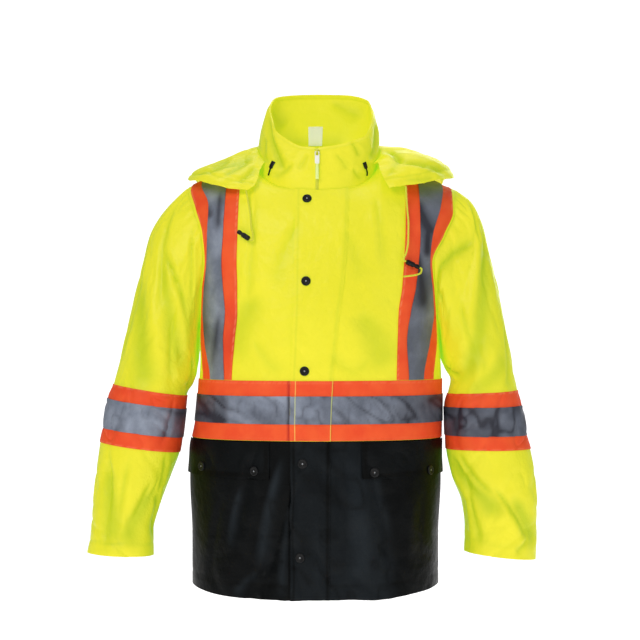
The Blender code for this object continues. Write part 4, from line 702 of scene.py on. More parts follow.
for panel, label in (("right", "front_right"), ("left", "front_left"), ("back", "back")):
    isBack = panel == "back"
    columns = between(-backSideColumn, backSideColumn, 8) if isBack else between(0, frontSideColumn, 9)
    for part, low, high, looks, inner in bodyParts:
        points, creaseShade = clothAt(panel, between(low, high, 9), columns)
        normals = gridNormals(points, bodyMiddle)
        fromLow, fromHigh, fromFirst, fromLast = edgeDistances(points)
        if part:
            # two rows of stitches hold the turned-up hem
            stitch = edgeStitches(points, low=panelValues["hemStitch"])
            dent = bell(fromLow - 0.0218, 0.0022)
        else:
            stitch = edgeStitches(points, high=panelValues["topStitch"]) * 0.8
            dent = 0.4 * bell(fromHigh - 0.0030, 0.0025)
        points = points - normals * (dent * panelValues["dent"])[..., None]
        # the side seams are closed; only the zip's edge is drawn in
        gap = panelValues["seamGap"]
        points = trimmedGrid(points, gap, gap, 0.0 if isBack else gap)
        # painted shade: the painted sheen and shade on the black, the painted crease shade on the yellow, and more
        # painted shade down in the stitched dents
        tone = blackPaintedSheen(points) if part else creaseShade
        clothPiece(label + part + "_cloth", label + part, points, normals, -panelValues["thick"], 0.0, looks,
                   shade=np.clip(tone + dent * 0.35, 0, 1), stitch=stitch, inner=inner)
print("body panels made")


# Storm flap over the zip, and the tapes.
def flapSurface(rows, columns):
    # columns run from -2 at the free edge over the zip to 2 at the stitched edge; the flap lifts a little
    # at its free edge between the snaps, as a cosine wave of their pitch
    points, creaseShade = bothHalves(True, rows, columns)
    normals = gridNormals(points, bodyMiddle)
    z = points[..., 2]
    free = softStep(-columns[None, :] / 2)
    lift = 0.5 - 0.5 * np.cos(2 * math.pi * (z + 0.059) / flapValues["snapPitch"])
    wave = flapValues["wave"] * free * lift + 0.0006 * unevenness(z * 1.5, points[..., 0], 0.05, 21)
    return points + normals * np.clip(wave, 0, None)[..., None], normals, creaseShade


flapTop = rowTop - 0.12
for part, low, high, looks, inner in bodyParts:
    points, normals, creaseShade = flapSurface(between(low, min(high, flapTop), 9), between(-2, 2, 10))
    fromLow, fromHigh, fromFirst, fromLast = edgeDistances(points)
    topStitch = {} if part else {"high": (0.004,)}
    stitch = edgeStitches(points, first=(flapValues["edgeStitch"],), last=(0.0015, 0.0065), **topStitch)
    dent = bell(fromFirst - flapValues["edgeStitch"], 0.0018) + bell(fromLast - 0.004, 0.0030)
    # painted shade: the painted sheen and shade on the black, the painted crease shade on the yellow, and more painted
    # shade down in the stitched dents
    tone = blackPaintedSheen(points) if part else creaseShade
    clothPiece("storm_flap" + part + "_cloth", "storm_flap" + part, points, normals, flapValues["gap"],
               flapValues["gap"] + flapValues["thick"], looks, shade=np.clip(tone + 0.35 * dent, 0, 1), stitch=stitch)

tapeLayers = (
    # each layer's lift over the cloth, its thickness and how far its stitches are from the edge
    {"ending": "_woven", "looks": orangeTape, "lift": 0.0004, "thick": 0.0008, "stitch": (0.0025,)},
    {"ending": "_film", "looks": silverTape, "lift": 0.0019, "thick": 0.0006, "stitch": (0.0020,)},
)


def tapePieces(name, replaced, surface, base, across, grids, shadeOf, pipingOf=None):
    # the backing and the silver strip on its middle, each with a row of stitches along both edges
    for layer, node, (rows, columns) in zip(tapeLayers, replaced, grids):
        points, normals, creaseShade = surface(rows, columns)
        fromLow, fromHigh, fromFirst, fromLast = edgeDistances(points)
        edges = ("low", "high") if across else ("first", "last")
        stitch = edgeStitches(points, **dict.fromkeys(edges, layer["stitch"]))
        length = fromFirst if across else fromLow
        pucker = 0.00035 * (1 + unevenness(length, fromLow * 0.2 + fromFirst * 0.2, 0.012, 41))
        low = base + layer["lift"]
        clothPiece(name + layer["ending"], node, points + normals * pucker[..., None], normals, low,
                   low + layer["thick"], layer["looks"], stitch=stitch,
                   shade=np.clip(shadeOf(points, creaseShade, layer["ending"] == "_film"), 0, 1),
                   piping=0.0 if pipingOf is None else pipingOf(fromFirst, fromLast))


def waistSurface(rows, columns):
    # all round the body from the storm flap's stitched line back to the same line on the other side
    points, creaseShade = panelsAround(rows, columns, 2, frontSideColumn, backSideColumn)
    return points, gridNormals(points, bodyMiddle), creaseShade


def waistShade(points, creaseShade, isFilm):
    # painted shade: the silver strip is darker at the wearer's far right and from the middle out to the wearer's left,
    # and mottled, over the painted crease shade and the flap edge's painted shadow; the woven strip gets the painted
    # crease shade and that shadow
    x, z = points[..., 0], points[..., 2]
    if not isFilm:
        return creaseShade * 0.8 + flapEdgePaintedShadow(points)
    sides = 0.62 * softStep((-0.145 - x) / 0.015) + 0.34 * softStep((x - 0.02) / 0.02)
    sides = sides + 0.22 * softStep((x - 0.12) / 0.02)
    fine = 0.40 * facets(x + z, z, 0.045, 51) + 0.20 * facets(x, z + x, 0.02, 54) + 0.20 * unevenness(x, z, 0.03, 55)
    return creaseShade + sides + fine + 0.8 * flapEdgePaintedShadow(points)


def flapTapeShade(points, creaseShade, isFilm):
    # painted shade: the silver strip on the flap is darker from the middle to the wearer's left, and mottled, over the
    # painted crease shade
    x, z = points[..., 0], points[..., 2]
    if not isFilm:
        return creaseShade * 0.8
    return creaseShade + 0.06 + 0.35 * softStep((x + 0.005) / 0.02) + 0.40 * facets(x, z, 0.03, 52)


def flapPiping(fromFirst, fromLast):
    # two pale lines down the storm flap's tape: 8.5 mm in from the free edge, and at the stitched edge
    return 0.7 * np.maximum(bell(fromFirst - 0.0085, 0.0008, 4), bell(fromLast, 0.0012, 4))


tapeRows = between(rowTapeBottom + 0.02, rowTapeTop, 8), between(rowSilverBottom, rowSilverTop, 14)
waistColumns, flapColumns = between(0.02, 47.98, 8), between(-2, 2, 36)
tapePieces("waist_tape", ("waist_tape", "waist_tape_silver"), waistSurface, 0.0, True,
           [(rows, waistColumns) for rows in tapeRows], waistShade)
tapePieces("storm_flap_tape", ("storm_flap_tape", "storm_flap_tape_silver"), flapSurface,
           flapValues["gap"] + flapValues["thick"], True, [(rows, flapColumns) for rows in tapeRows],
           flapTapeShade, flapPiping)

# Shoulder strips, each one's painted grey (the right lighter than the left) and its painted dark creases: x and z of
# both ends, bow, half width, depth, sharpness.
braceValues = {
    "right": {"base": 0.10, "slope": 0.20, "lines": rowsOf("""
    -198 -50 -180 -92 0 7 -1.2 1.5, -165 -45 -168 -112 0 6 -1.2 1.5
    -190 -120 -194 -340 0 7 -1 1.5, -165 -250 -178 -345 0 6 -1 1.5""", creaseUnits)},
    "left": {"base": 0.40, "slope": 0.15, "lines": rowsOf("""
    168 -60 200 -120 4 10 -1.2 1.5, 170 -140 182 -250 0 10 -1 1.5, 190 -90 186 -160 0 7 -1.2 1.5""", creaseUnits)},
}
for side, sign in (("right", -1), ("left", 1)):
    def braceSurface(rows, columns, side=side, sign=sign):
        # over the shoulder: rows from the waist tape up the front to the seam, then down the back,
        # columns 0 to 3 across the tape from the inner to the outer edge
        halves = (clothAt(side, rows[rows <= rowTop], 7 + columns),
                  clothAt("back", 2 * rowTop - rows[rows > rowTop], sign * (5 + columns)))
        points, creaseShade = (np.concatenate(each) for each in zip(*halves))
        return points, gridNormals(points, bodyMiddle), creaseShade

    def braceShade(points, creaseShade, isFilm, values=braceValues[side]):
        # painted light and shade: the silver strip is its side's grey, mottled, with its painted dark creases on the
        # front only, over the painted crease shade; the woven strip gets the painted crease shade
        x, y, z = points[..., 0], points[..., 1], points[..., 2]
        if not isFilm:
            return creaseShade * 0.8
        lines = np.clip(creases(x, z, values["lines"])[1] * 4, 0, 1) * softStep((0.02 - y) / 0.05)
        return creaseShade + values["base"] + values["slope"] * unevenness(x, z * 0.6, 0.035, 61) + 0.9 * lines

    rows = between(rowTapeTop + 0.02, 2 * rowTop - rowTapeTop - 0.02, 8)
    tapePieces("brace_tape_" + side, ("brace_tape_" + side, "brace_silver_" + side), braceSurface, 0.0, False,
               ((rows, between(0, 3, 10)), (rows, between(1, 2, 22))), braceShade)
print("flap and tapes made")


# Pocket flaps.
pocketValues = {"low": 0.0004, "thick": 0.0016, "stitch": (0.0025, 0.008), "topStitch": (0.006,), "lift": 0.0015}
for side in ("right", "left"):
    points, creaseShade = clothAt(side, between(rowPocket, rowTapeBottom - 0.03, 44), between(4, frontSideColumn - 0.2, 10))
    normals = gridNormals(points, bodyMiddle)
    fromLow, fromHigh, fromFirst, fromLast = edgeDistances(points)
    edge = pocketValues["stitch"]
    stitch = edgeStitches(points, low=edge, first=edge, high=pocketValues["topStitch"])
    lift = pocketValues["lift"] * softStep(1 - fromLow / 0.03) * (
        0.4 + 0.6 * np.abs(np.sin(fromFirst * 2 * math.pi / 0.09)))
    dent = bell(fromLow - 0.0055, 0.003) + bell(fromFirst - 0.0055, 0.003)
    points = points + normals * (lift + 0.0006 * (1 + unevenness(fromFirst, fromLow, 0.04, 71)))[..., None]
    # painted shade: near black, darker down in the stitched dents, with random lighter patches
    clothPiece("pocket_flap_" + side + "_cloth", "pocket_flap_" + side, points, normals, pocketValues["low"],
               pocketValues["low"] + pocketValues["thick"], blackCloth, stitch=stitch,
               shade=np.clip(0.90 + 0.3 * dent - 0.12 * unevenness(fromFirst, fromLow, 0.03, 73), 0, 1))


# Sleeves: upper line, lower line, half thickness and middle of the section at each station.
sleeveNames = "topX topZ lowX lowZ half midY"
sleeveShape = {
    "right": tableOf(sleeveNames, """
    226 -30 206.5 -290 70 3, 262 -63 208.5 -306 76 2, 292.5 -111 209.2 -326 79 0
    308 -172 210 -345 80 -3, 325 -240 212 -360 79 -6, 342 -310 219.5 -376 77 -9
    356.5 -375.4 228.5 -395.6 74 -12, 365.1 -400 231 -419.2 73 -14, 373.8 -451 236.5 -468.2 71 -18
    379 -475.7 240.5 -493.9 70 -20, 387 -535 253.5 -530 67 -24, 392 -590 272 -580 62 -28
    394.2 -634 285 -625 57 -31, 400.3 -667 284.2 -672 54 -34"""),
    "left": tableOf(sleeveNames, """
    236 -31 215 -290 70 3, 269 -53 218 -306 74 2, 288 -90 219.2 -323 78 0, 301 -145 220.5 -339 80 -3
    319 -214 227 -353 79 -6, 336 -300 234 -369 77 -9, 351 -386.5 229 -392.5 74 -12
    356.5 -413.6 224 -415.4 73 -14, 366.2 -464.6 225 -464 71 -18, 371.2 -488.4 225.5 -488 70 -20
    380 -540 235 -534 67 -24, 384 -590 252 -580 62 -28, 383.6 -635 257 -622 57 -31
    380 -679 255.5 -665 54 -34"""),
}
# Folds on a sleeve: station (armhole 0, cuff 13) and turn (0 under the arm, 0.25 in front, 0.5 on top)
# of both ends, bow, half width, depth, sharpness.
sleeveFolds = {
    "right": rowsOf("""
    3.2 0.42 6 0.24 4 20 -6 2, 2 0.34 4.4 0.12 4 18 -5 2, 9.6 0.38 12.6 0.26 3 18 -6 2
    10.4 0.12 12.6 0.22 3 18 -5.5 2, 4 0.62 6 0.82 4 22 -5.5 2, 9.8 0.7 11.6 0.88 4 20 -5.5 2
    1.9 0.35 2.4 0.15 4 7 -5.5 1.3, 2.2 0.46 5.4 0.44 5 10 -5 1.5, 3 0.09 5.6 0.03 4 7 -6 1.4
    2.6 0.22 5.2 0.16 -5 7 -4 1.3, 9.2 0.37 12.8 0.31 4 7 -5 1.3, 9.4 0.27 12.9 0.23 -4 8 -3.6 1.4
    10.6 0.09 12.4 0.02 3 7 -5 1.4, 10.2 0.15 11.8 0.2 3 7 -3.4 1.3, 0.6 0.4 3.4 0.28 6 8 -4 1.4
    0.4 0.26 1.8 0.14 4 6 -4 1.3, 9.2 0.12 10.6 0.08 2 6 -3 1.4, 6.2 0.12 8.8 0.16 3 6 -2.2 1.3
    6.4 0.33 8.6 0.36 2 6 -1.8 1.4, 2.2 0.66 5 0.8 6 10 -4 1.5, 9.4 0.6 12.2 0.74 4 9 -4 1.5
    1 0.6 3.2 0.7 5 8 -3.6 1.4, 9.6 0.82 12.4 0.9 4 8 -3.6 1.4""", sleeveFoldUnits),
    "left": rowsOf("""
    2.2 0.44 5.4 0.1 4 20 -6.5 2, 5.2 0.4 6 0.16 3 16 -4 2, 9.4 0.06 11.4 0.24 3 18 -6 2
    10.6 0.3 12.4 0.44 3 18 -6 2, 3.8 0.6 6 0.84 4 22 -5.5 2, 9.6 0.66 11.8 0.9 4 20 -5.5 2
    0 0.02 1.9 0.34 -6 7 -8.5 1.3, 0.1 0.11 1.6 0.13 3 5 -5 1.3, 2 0.4 3.1 0.44 3 8 -4 1.4
    3.4 0.01 5.2 0.12 3 7 -5 1.3, 9.2 0.11 10.6 0.22 3 7 -5.5 1.3, 10.3 0.23 12.1 0.38 3 7 -5.5 1.3
    12.2 0.38 12.8 0.31 2 6 -4 1.3, 10.6 0.1 12.6 0.14 3 8 -4 1.4, 2.6 0.2 5.6 0.26 5 8 -3.4 1.4
    0.8 0.42 2.2 0.36 4 7 -4 1.4, 6.2 0.15 8.8 0.11 3 6 -2.2 1.3, 6.6 0.3 8.4 0.26 2 6 -1.8 1.4
    4.4 0.44 5.9 0.36 3 7 -3.4 1.4, 2.4 0.64 5.2 0.8 6 10 -4 1.5, 9.2 0.62 12 0.76 4 9 -4 1.5
    0.8 0.62 3 0.72 5 8 -3.6 1.4, 10 0.84 12.6 0.92 4 8 -3.6 1.4""", sleeveFoldUnits),
}
sleeveValues = {"headLength": 4.5, "across": 152, "slowWave": 0.0022, "facet": 0.0026, "gather": 0.0012,
                "gathers": 26, "cuffStitch": (0.022, 0.003), "thick": 0.0014, "dent": 0.0007}


def armholeEdge(side, turns):
    # up the front edge from under the arm to the shoulder seam, down the back edge to the underarm
    turns = np.mod(turns, 1.0) * 20
    front = clothAt(side, rowUnderarm + np.clip(turns, 0, 10), frontSideColumn)[0][:, 0]
    backColumn = backSideColumn if side == "left" else -backSideColumn
    back = clothAt("back", 30 - np.clip(turns, 10, 20), backColumn)[0][:, 0]
    return np.where((turns <= 10)[:, None], front, back)


def sleeveSurface(side, stations, turns):
    # own outline: an ellipse between the upper and lower line, x and z by (1 - cos) / 2 between them and
    # y by sin; near the body it is carried over from the armhole's edge
    values, shape = sleeveValues, sleeveShape[side]
    around = 2 * math.pi * turns
    share = ((1 - np.cos(around)) / 2)[None, :]

    def ellipse(station):
        # round the sleeve at a station: low + (top - low) * (1 - cos) / 2, and half * sin in y
        at = {name: readCurve(station, np.arange(len(line)), line)[:, None] for name, line in shape.items()}
        x, z = (at["low" + axis] + (at["top" + axis] - at["low" + axis]) * share for axis in "XZ")
        return np.stack([x * (1 if side == "left" else -1), at["midY"] - at["half"] * np.sin(around), z], axis=-1)

    head = (1 - softStep(stations / values["headLength"]))[:, None, None]
    points = ellipse(stations) + (armholeEdge(side, turns)[None] - ellipse(np.zeros(1))) * head
    girth = np.linalg.norm(np.diff(points, axis=1, append=points[:, :1]), axis=-1).sum(axis=1)
    length = runs(points.mean(axis=1)[:, None], 0)[:, 0]
    # the folds' stations and turns as metres along and round the arm
    lines = sleeveFolds[side].copy()
    lines[:, (1, 3)] *= np.interp(lines[:, (0, 2)], stations, girth)
    lines[:, (0, 2)] = np.interp(lines[:, (0, 2)], stations, length)
    flatU = np.broadcast_to(length[:, None], points.shape[:2])
    flatV = turns[None, :] * girth[:, None]
    height, creaseShade = creases(flatU, flatV, lines)
    # waves of the noise run slantwise round the arm, and meet at the underarm seam
    meet = softStep(turns / 0.06) * softStep((1 - turns) / 0.06)
    slow = unevenness(flatU + 0.5 * flatV, flatV * 0.8, 0.085, 31 if side == "left" else 37) * values["slowWave"]
    slow = slow - facets(flatU + 0.7 * flatV, flatV - 0.2 * flatU, 0.060, 43) * values["facet"]
    settle = softStep(stations / 0.9)[:, None]
    middle = points.mean(axis=1, keepdims=True)
    # gathered a little at the armhole seam
    gather = values["gather"] * bell(flatU, 0.02) * np.sin(around * values["gathers"]) * softStep(flatU / 0.006)
    points = points + unit(points - middle) * ((height + slow * meet) * settle + gather)[..., None]
    return points, gridNormals(points, points.mean(axis=1, keepdims=True), ring=True), creaseShade * settle


def silverSleeveShade(side, points):
    # painted light and shade: the right strip fades from a painted light on its outer side to grey, the left one is
    # dark throughout
    x, z = points[..., 0], points[..., 2]
    if side == "right":
        base, slope, fade = -0.24, 0.25, 0.55 * softStep((0.30 - np.abs(x)) / 0.07)
    else:
        base, slope, fade = 0.50, 0.15, 0.18 * softStep((0.36 - np.abs(x)) / 0.1)
    return base + fade + slope * unevenness(x * 2, z * 2, 0.03, 53) + 0.45 * facets(x * 1.5, z, 0.04, 59)


turns = np.arange(sleeveValues["across"]) / sleeveValues["across"]
for side in ("right", "left"):
    stations = np.unique(np.concatenate([between(0, 13, 9), [12.86, 12.93, 12.97, 13.0]]))  # closer at the cuff
    points, normals, creaseShade = sleeveSurface(side, stations, turns)
    down = runs(points, 0)
    fromCuff = down[-1:] - down
    around = np.broadcast_to(turns[None, :] * 0.4, down.shape)
    stitch = np.maximum(stitchRows(fromCuff, sleeveValues["cuffStitch"], around), stitchRows(down, (0.004,), around))
    dent = bell(fromCuff - 0.022, 0.0022) + bell(down, 0.003)
    points = trimmedGrid(points - normals * (dent * sleeveValues["dent"])[..., None], 0.0004)
    # painted shade in the creases and down in the stitched dents
    clothPiece("sleeve_" + side + "_cloth", "sleeve_" + side, points, normals, -sleeveValues["thick"], 0.0,
               yellowCloth, shade=np.clip(creaseShade + 0.35 * dent, 0, 1), stitch=stitch, ring=True, inner=insideCloth)
    # bands round the sleeve between two stations of the same surface
    for layer, node, first, last in zip(tapeLayers, ("sleeve_tape_", "sleeve_silver_"), (6.0, 7.0), (9.0, 8.0)):
        picked = between(first, last, 16)
        every = np.unique(np.concatenate([between(0, 13, 9), picked]))
        inside = np.isin(every, picked)
        points, normals, creaseShade = (grid[inside] for grid in sleeveSurface(side, every, turns))
        down = runs(points, 0)
        around = np.broadcast_to(turns[None, :] * 0.4, down.shape)
        stitch = np.maximum(stitchRows(down, (0.0025,), around), stitchRows(down[-1:] - down, (0.0025,), around))
        pucker = 0.0003 * (1 + unevenness(around, down * 0.2, 0.012, 47))
        # painted shade: the crease shade, and on the film its painted light and shade
        tone = silverSleeveShade(side, points) if layer["ending"] == "_film" else 0.0
        clothPiece("sleeve_tape_" + side + layer["ending"], node + side, points + normals * pucker[..., None], normals,
                   layer["lift"], layer["lift"] + layer["thick"], layer["looks"],
                   shade=np.clip(creaseShade * 0.8 + tone, 0, 1), stitch=stitch, ring=True)
print("sleeves made")


# Collar: its top edge by distance round, front to middle back.
collarTop = {
    "right": tableOf("around x y z", """
    0 3 -88 31.8, 140 25 -85 33.5, 300 56 -70 49, 420 75.5 -50 68, 560 87 -5 108, 720 76 50 133
    860 42 70 140, 1000 0 76 142"""),
    "left": tableOf("around x y z", """
    0 3 -88 31.8, 140 26 -86 35, 300 64 -74 45, 420 91 -52 60, 560 102 -5 96, 720 96 50 126
    860 56 70 140, 1000 0 76 142"""),
}
collarLast = 20  # collar columns: 0 at the zip on the wearer's right, 10 at the middle back, 20 at the zip
# Creases in collar coordinates: metres round from the middle back (right negative), share of height
# times 0.1, as the other tables.
collarFolds = rowsOf("""
    -157 96 -259 34 6 9 -6.5 1.4, -175 70 -205 30 -4 10 -4 1.5, 233 99 228 60 2 6 -4 1.3
    250 40 234 6 -3 7 -4 1.3, 150 92 205 40 4 11 -5.5 1.5, -270 60 -235 12 3 8 -3 1.4
    276 80 262 40 3 8 -2.4 1.4, -300 85 -285 45 2 8 -2.4 1.4, -60 30 50 22 6 12 -3 1.5
    20 90 70 70 4 10 -2.4 1.5, -100 85 -60 50 4 10 -3 1.5""", creaseUnits)
collarValues = {"bulge": 0.004, "wave": 0.0022, "rollIn": 0.0030, "low": -0.0026, "high": 0.0002, "stitch": (0.006,)}
collarColumns = between(0, collarLast, 14)
neckline = panelsAround([rowTop], collarColumns, 0, 6, 4)[0][0]
necklineRun = runs(neckline[:, None], 0)[:, 0]
middleRun = np.interp(collarLast / 2, collarColumns, necklineRun)


def collarSurface(columns, heights):
    # straight from the neckline to the top edge, bulged out by 4 * bulge * share * (1 - share) between
    run = np.interp(columns, collarColumns, necklineRun)
    low = np.stack([np.interp(columns, collarColumns, neckline[:, axis]) for axis in range(3)], axis=1)
    onRight = columns <= collarLast / 2
    around = np.where(onRight, run / middleRun, (necklineRun[-1] - run) / (necklineRun[-1] - middleRun))
    right, left = (np.stack([readCurve(around, top["around"], top[k]) for k in "xyz"], axis=1)
                   for top in (collarTop["right"], collarTop["left"]))
    top = np.where(onRight[:, None], right * np.array([-1, 1, 1]), left)
    heights = np.asarray(heights)[:, None]
    share = heights[..., None]
    points = low + (top - low) * share
    outward = unit(points * np.array([1.0, 1.0, 0.0]))
    points = points + outward * collarValues["bulge"] * 4 * share * (1 - share)
    flatU = np.broadcast_to((run - middleRun)[None, :], points.shape[:2])
    flatV = np.broadcast_to(heights * 0.1, points.shape[:2])
    height, creaseShade = creases(flatU, flatV, collarFolds)
    height = height + collarValues["wave"] * unevenness(flatU, flatV, 0.06, 81) * softStep(flatV / 0.03)
    settle = softStep(heights * 4) * softStep((0.5 * necklineRun[-1] - np.abs(flatU)) / 0.02)
    # the top edge rolls in a little
    rollIn = collarValues["rollIn"] * softStep((heights - 0.93) / 0.07)
    points = points + outward * (height * settle - rollIn)[..., None]
    return points, gridNormals(points, np.zeros(3)), creaseShade * settle


heights = np.unique(np.concatenate([np.linspace(0, 1, 60), [0.985, 0.993]]))
points, normals, creaseShade = collarSurface(collarColumns, heights)
fromLow, fromHigh, fromFirst, fromLast = edgeDistances(points)
edge = collarValues["stitch"]
stitch = edgeStitches(points, low=(0.003,), high=edge, first=edge, last=edge)
dent = bell(fromHigh - 0.006, 0.002) + 0.4 * bell(fromLow, 0.003)
points = trimmedGrid(points - normals * (0.0005 * dent)[..., None], 0.0003)
# painted shade in the creases and down in the stitched dents
clothPiece("collar_cloth", "collar", points, normals, collarValues["low"], collarValues["high"], yellowCloth,
           shade=np.clip(creaseShade + 0.2 * dent, 0, 1), stitch=stitch, inner=insideCloth)
print("collar made")


# Hood, laid back over the shoulders: five lines from the collar's seam over the crown, the fold and the
# face to the rim, each by distance round from the front end to the middle back.
hoodNames = "around crownX crownY crownZ foldX foldY foldZ faceX faceY faceZ rimX rimY rimZ"
hoodShape = tableOf(hoodNames, """
    0 105 -64 -6 111 -82 -20 117 -98 -34 121 -108 -43
    140 124 -46 13 143 -72 -4 158 -96 -23 165 -105 -35, 270 140 -20 22 172 -42 9 194 -68 -9 202 -80 -25
    390 148 14 26.5 190 10 8 217 -6 -7 225 -25 -19, 520 138 62 20 180 80 -22 214 84 -22 214 64 -8
    660 108 104 -6 148 138 -100 176 150 -60 168 140 -10
    820 60 128 -46 86 162 -188 108 190 -110 100 185 -20, 1000 0 134 -64 0 170 -226 0 206 -130 0 200 -28""")
hoodValues = {"across": 84, "out": 60, "widen": 1.055, "lift": 0.004, "seamGap": 0.0017, "clear": 0.0034,
              "thick": 0.0016, "slowWave": 0.0032, "facet": 0.0022, "casing": 0.018, "welt": 0.0011,
              # how far the wearer's left wing stands up where its cloth is bunched
              "leftRise": {"crown": 0.009, "fold": 0.012, "face": 0.009, "rim": 0.0},
              # how far its front edges are drawn in to the collar
              "drawnIn": {"crown": 0.006, "fold": 0.010, "face": 0.011, "rim": 0.004}}
# Creases of the hood's wings as seen from the front: x and z of both ends, bow, half width, depth, sharpness.
hoodFolds = rowsOf("""
    -215 -14 -105 24 4 6 -5.5 1.4, -190 -12 -150 16 -3 6 -4.5 1.4, -160 -16 -120 12 3 6 -4.5 1.4
    -135 -30 -105 0 2 6 -3.5 1.4, 112 34 146 4 -6 7 -7 1.4, 146 6 222 -14 -6 6 -6 1.4
    128 20 190 4 4 7 -2.4 1.5, 150 -24 200 -20 3 7 -2.4 1.5, 120 -20 135 10 3 6 -2.2 1.4""", creaseUnits)
# Folds of its hanging back: the same, seen from behind.
hoodBackFolds = rowsOf("""
    -120 -30 -30 -190 12 14 -5 1.7, 130 -40 35 -185 -12 14 -4.8 1.7, -50 -30 -20 -150 6 10 -3.4 1.6
    70 -30 10 -120 -6 10 -3.4 1.6, -150 -60 -90 -140 6 10 -3.4 1.6, 10 -100 60 -200 6 9 -3 1.6
    -80 -170 50 -205 6 12 -3.4 1.6, 150 -60 110 -150 6 10 -3 1.6""", creaseUnits)
hoodMiddle = np.array([0.0, 0.05, -0.30])


def keptClear(points, clear):
    # points nearer to the body's cloth than `clear` moved out along its normals, a block at a time
    samples, facing = [], []
    for panel, first, last in (("right", 0, frontSideColumn), ("left", 0, frontSideColumn),
                               ("back", -backSideColumn, backSideColumn)):
        grid = clothAt(panel, between(rowUnderarm - 2, rowTop, 6), between(first, last, 5))[0]
        samples.append(grid.reshape(-1, 3))
        facing.append(gridNormals(grid, bodyMiddle).reshape(-1, 3))
    samples, facing = np.concatenate(samples), np.concatenate(facing)
    squares = np.sum(samples**2, axis=1)
    flat = points.reshape(-1, 3).copy()
    need = np.broadcast_to(clear, points.shape[:2]).reshape(-1)
    for repeat in range(2):
        near = np.concatenate([np.argmin(squares - 2 * block @ samples.T, axis=1)
                               for block in np.array_split(flat, 24)])
        out = np.sum((flat - samples[near]) * facing[near], axis=1)
        flat = flat + facing[near] * np.maximum(need - out, 0)[:, None]
    return flat.reshape(points.shape)


def hoodSections(side, sign):
    # the seam on the collar, then the four named lines, for one half of the hood
    around = np.linspace(0, 1, hoodValues["across"])
    heights = np.linspace(0.16, 0.32, 9)
    column = 5 + 5 * around if side == "right" else collarLast - 5 - 5 * around
    order = np.argsort(column)
    back = np.argsort(order)
    band, bandNormals = (grid[:, back] for grid in collarSurface(column[order], heights)[:2])
    level = np.interp(0.30 - 0.12 * softStep(around), heights, np.arange(len(heights)))
    low, part, here = level.astype(int), (level % 1)[:, None], np.arange(len(around))
    seam = band[low, here] * (1 - part) + band[low + 1, here] * part + bandNormals[low, here] * hoodValues["seamGap"]
    sections = [seam]
    onLeft = side == "left"
    widen, lift = (hoodValues["widen"], hoodValues["lift"]) if onLeft else (1.0, 0.0)
    for name in ("crown", "fold", "face", "rim"):
        x, y, z = (readCurve(around, hoodShape["around"], hoodShape[name + axis]) for axis in "XYZ")
        raised = hoodValues["leftRise"][name] * softStep((0.62 - around) / 0.3) if onLeft else 0.0
        drawnIn = hoodValues["drawnIn"][name] * (1 - softStep(around / 0.16))
        x, y, z = sign * (x * widen - drawnIn), y - 0.4 * drawnIn, z + lift * (1 - around) + raised
        sections.append(np.stack([x, y, z], axis=1))
    return np.array(sections)


share = np.linspace(0, 1, hoodValues["out"])
right, left = (readCurve(share * 4, np.arange(5), hoodSections(side, sign))
               for side, sign in (("right", -1), ("left", 1)))
points = np.concatenate([right, left[:, -2::-1]], axis=1)
normals = gridNormals(points, hoodMiddle)
x, y, z = points[..., 0], points[..., 1], points[..., 2]
front, frontCreaseShade = creases(x, z, hoodFolds)
back, backCreaseShade = creases(x, z, hoodBackFolds)
toFront, toBack = softStep((0.035 - y) / 0.04), softStep((y - 0.06) / 0.05)
slow = hoodValues["slowWave"] * unevenness(x, z + y, 0.075, 91)
slow = slow - hoodValues["facet"] * facets(x * 1.2, z + y, 0.040, 93)
settle = softStep(share[:, None] * 5)
creaseShade = np.maximum(frontCreaseShade * toFront, backCreaseShade * toBack) * settle
points = points + normals * ((front * toFront + back * toBack + slow) * settle)[..., None]
points = keptClear(points, hoodValues["clear"] * softStep(share[:, None] * 6))
normals = gridNormals(points, hoodMiddle)
fromLow, fromHigh, fromFirst, fromLast = edgeDistances(points)
# casing for the drawcord along the rim: a low welt between the edge and one row of stitches
casing = hoodValues["casing"]
welt = bell(fromHigh - 0.008, 0.006) * hoodValues["welt"]
dent = bell(fromHigh - casing, 0.0020) + bell(fromLow, 0.004)
stitch = edgeStitches(points, low=(0.004,), high=(casing,))
points = points + normals * (welt - 0.0006 * dent)[..., None]
# painted shade in the creases, made stronger, and down in the stitched dents
clothPiece("hood_cloth", "hood", points, normals, 0.0, hoodValues["thick"], yellowCloth, stitch=stitch,
           shade=np.clip(creaseShade * 1.5 + 0.35 * dent, 0, 1), inner=insideCloth)
print("hood made")


# Neck label (blank), and the small black tabs at the hood's front corners.
labelValues = {"left": -0.0160, "right": 0.0095, "low": 0.0510, "high": 0.0850, "sag": 0.0007}
level = collarSurface(between(8, 12, 14), [0.30, 0.32, 0.34])[0][1]
columns = np.linspace(*np.interp([labelValues["left"], labelValues["right"]], level[:, 0], between(8, 12, 14)), 24)
heights = np.linspace(0, 1, 50)
middleHeight = collarSurface(np.array([9.9, 10.0, 10.1]), heights)[0][:, 1, 2]
heights = np.linspace(*np.interp([labelValues["low"], labelValues["high"]], middleHeight, heights), 30)
points, normals, creaseShade = collarSurface(columns, heights)
fromLow, fromHigh, fromFirst, fromLast = edgeDistances(points)
stitch = edgeStitches(points, 0.002, low=(0.0015,), high=(0.0015,))
sag = labelValues["sag"] * np.sin(math.pi * fromLow / fromLow[-1:])
sag = sag * (1 + 0.4 * unevenness(fromFirst, fromLow, 0.01, 95))
clothPiece("neck_label_woven", "neck_label", points - normals * sag[..., None], normals, -0.0040, -0.0031, whiteLabel,
           shade=0.25 * stitch, stitch=stitch)
tabValues = {"low": 0.13, "high": 0.45, "neck": 0.28, "strap": 0.30, "inner": 4.28, "outer": 4.52, "crown": 0.0006}
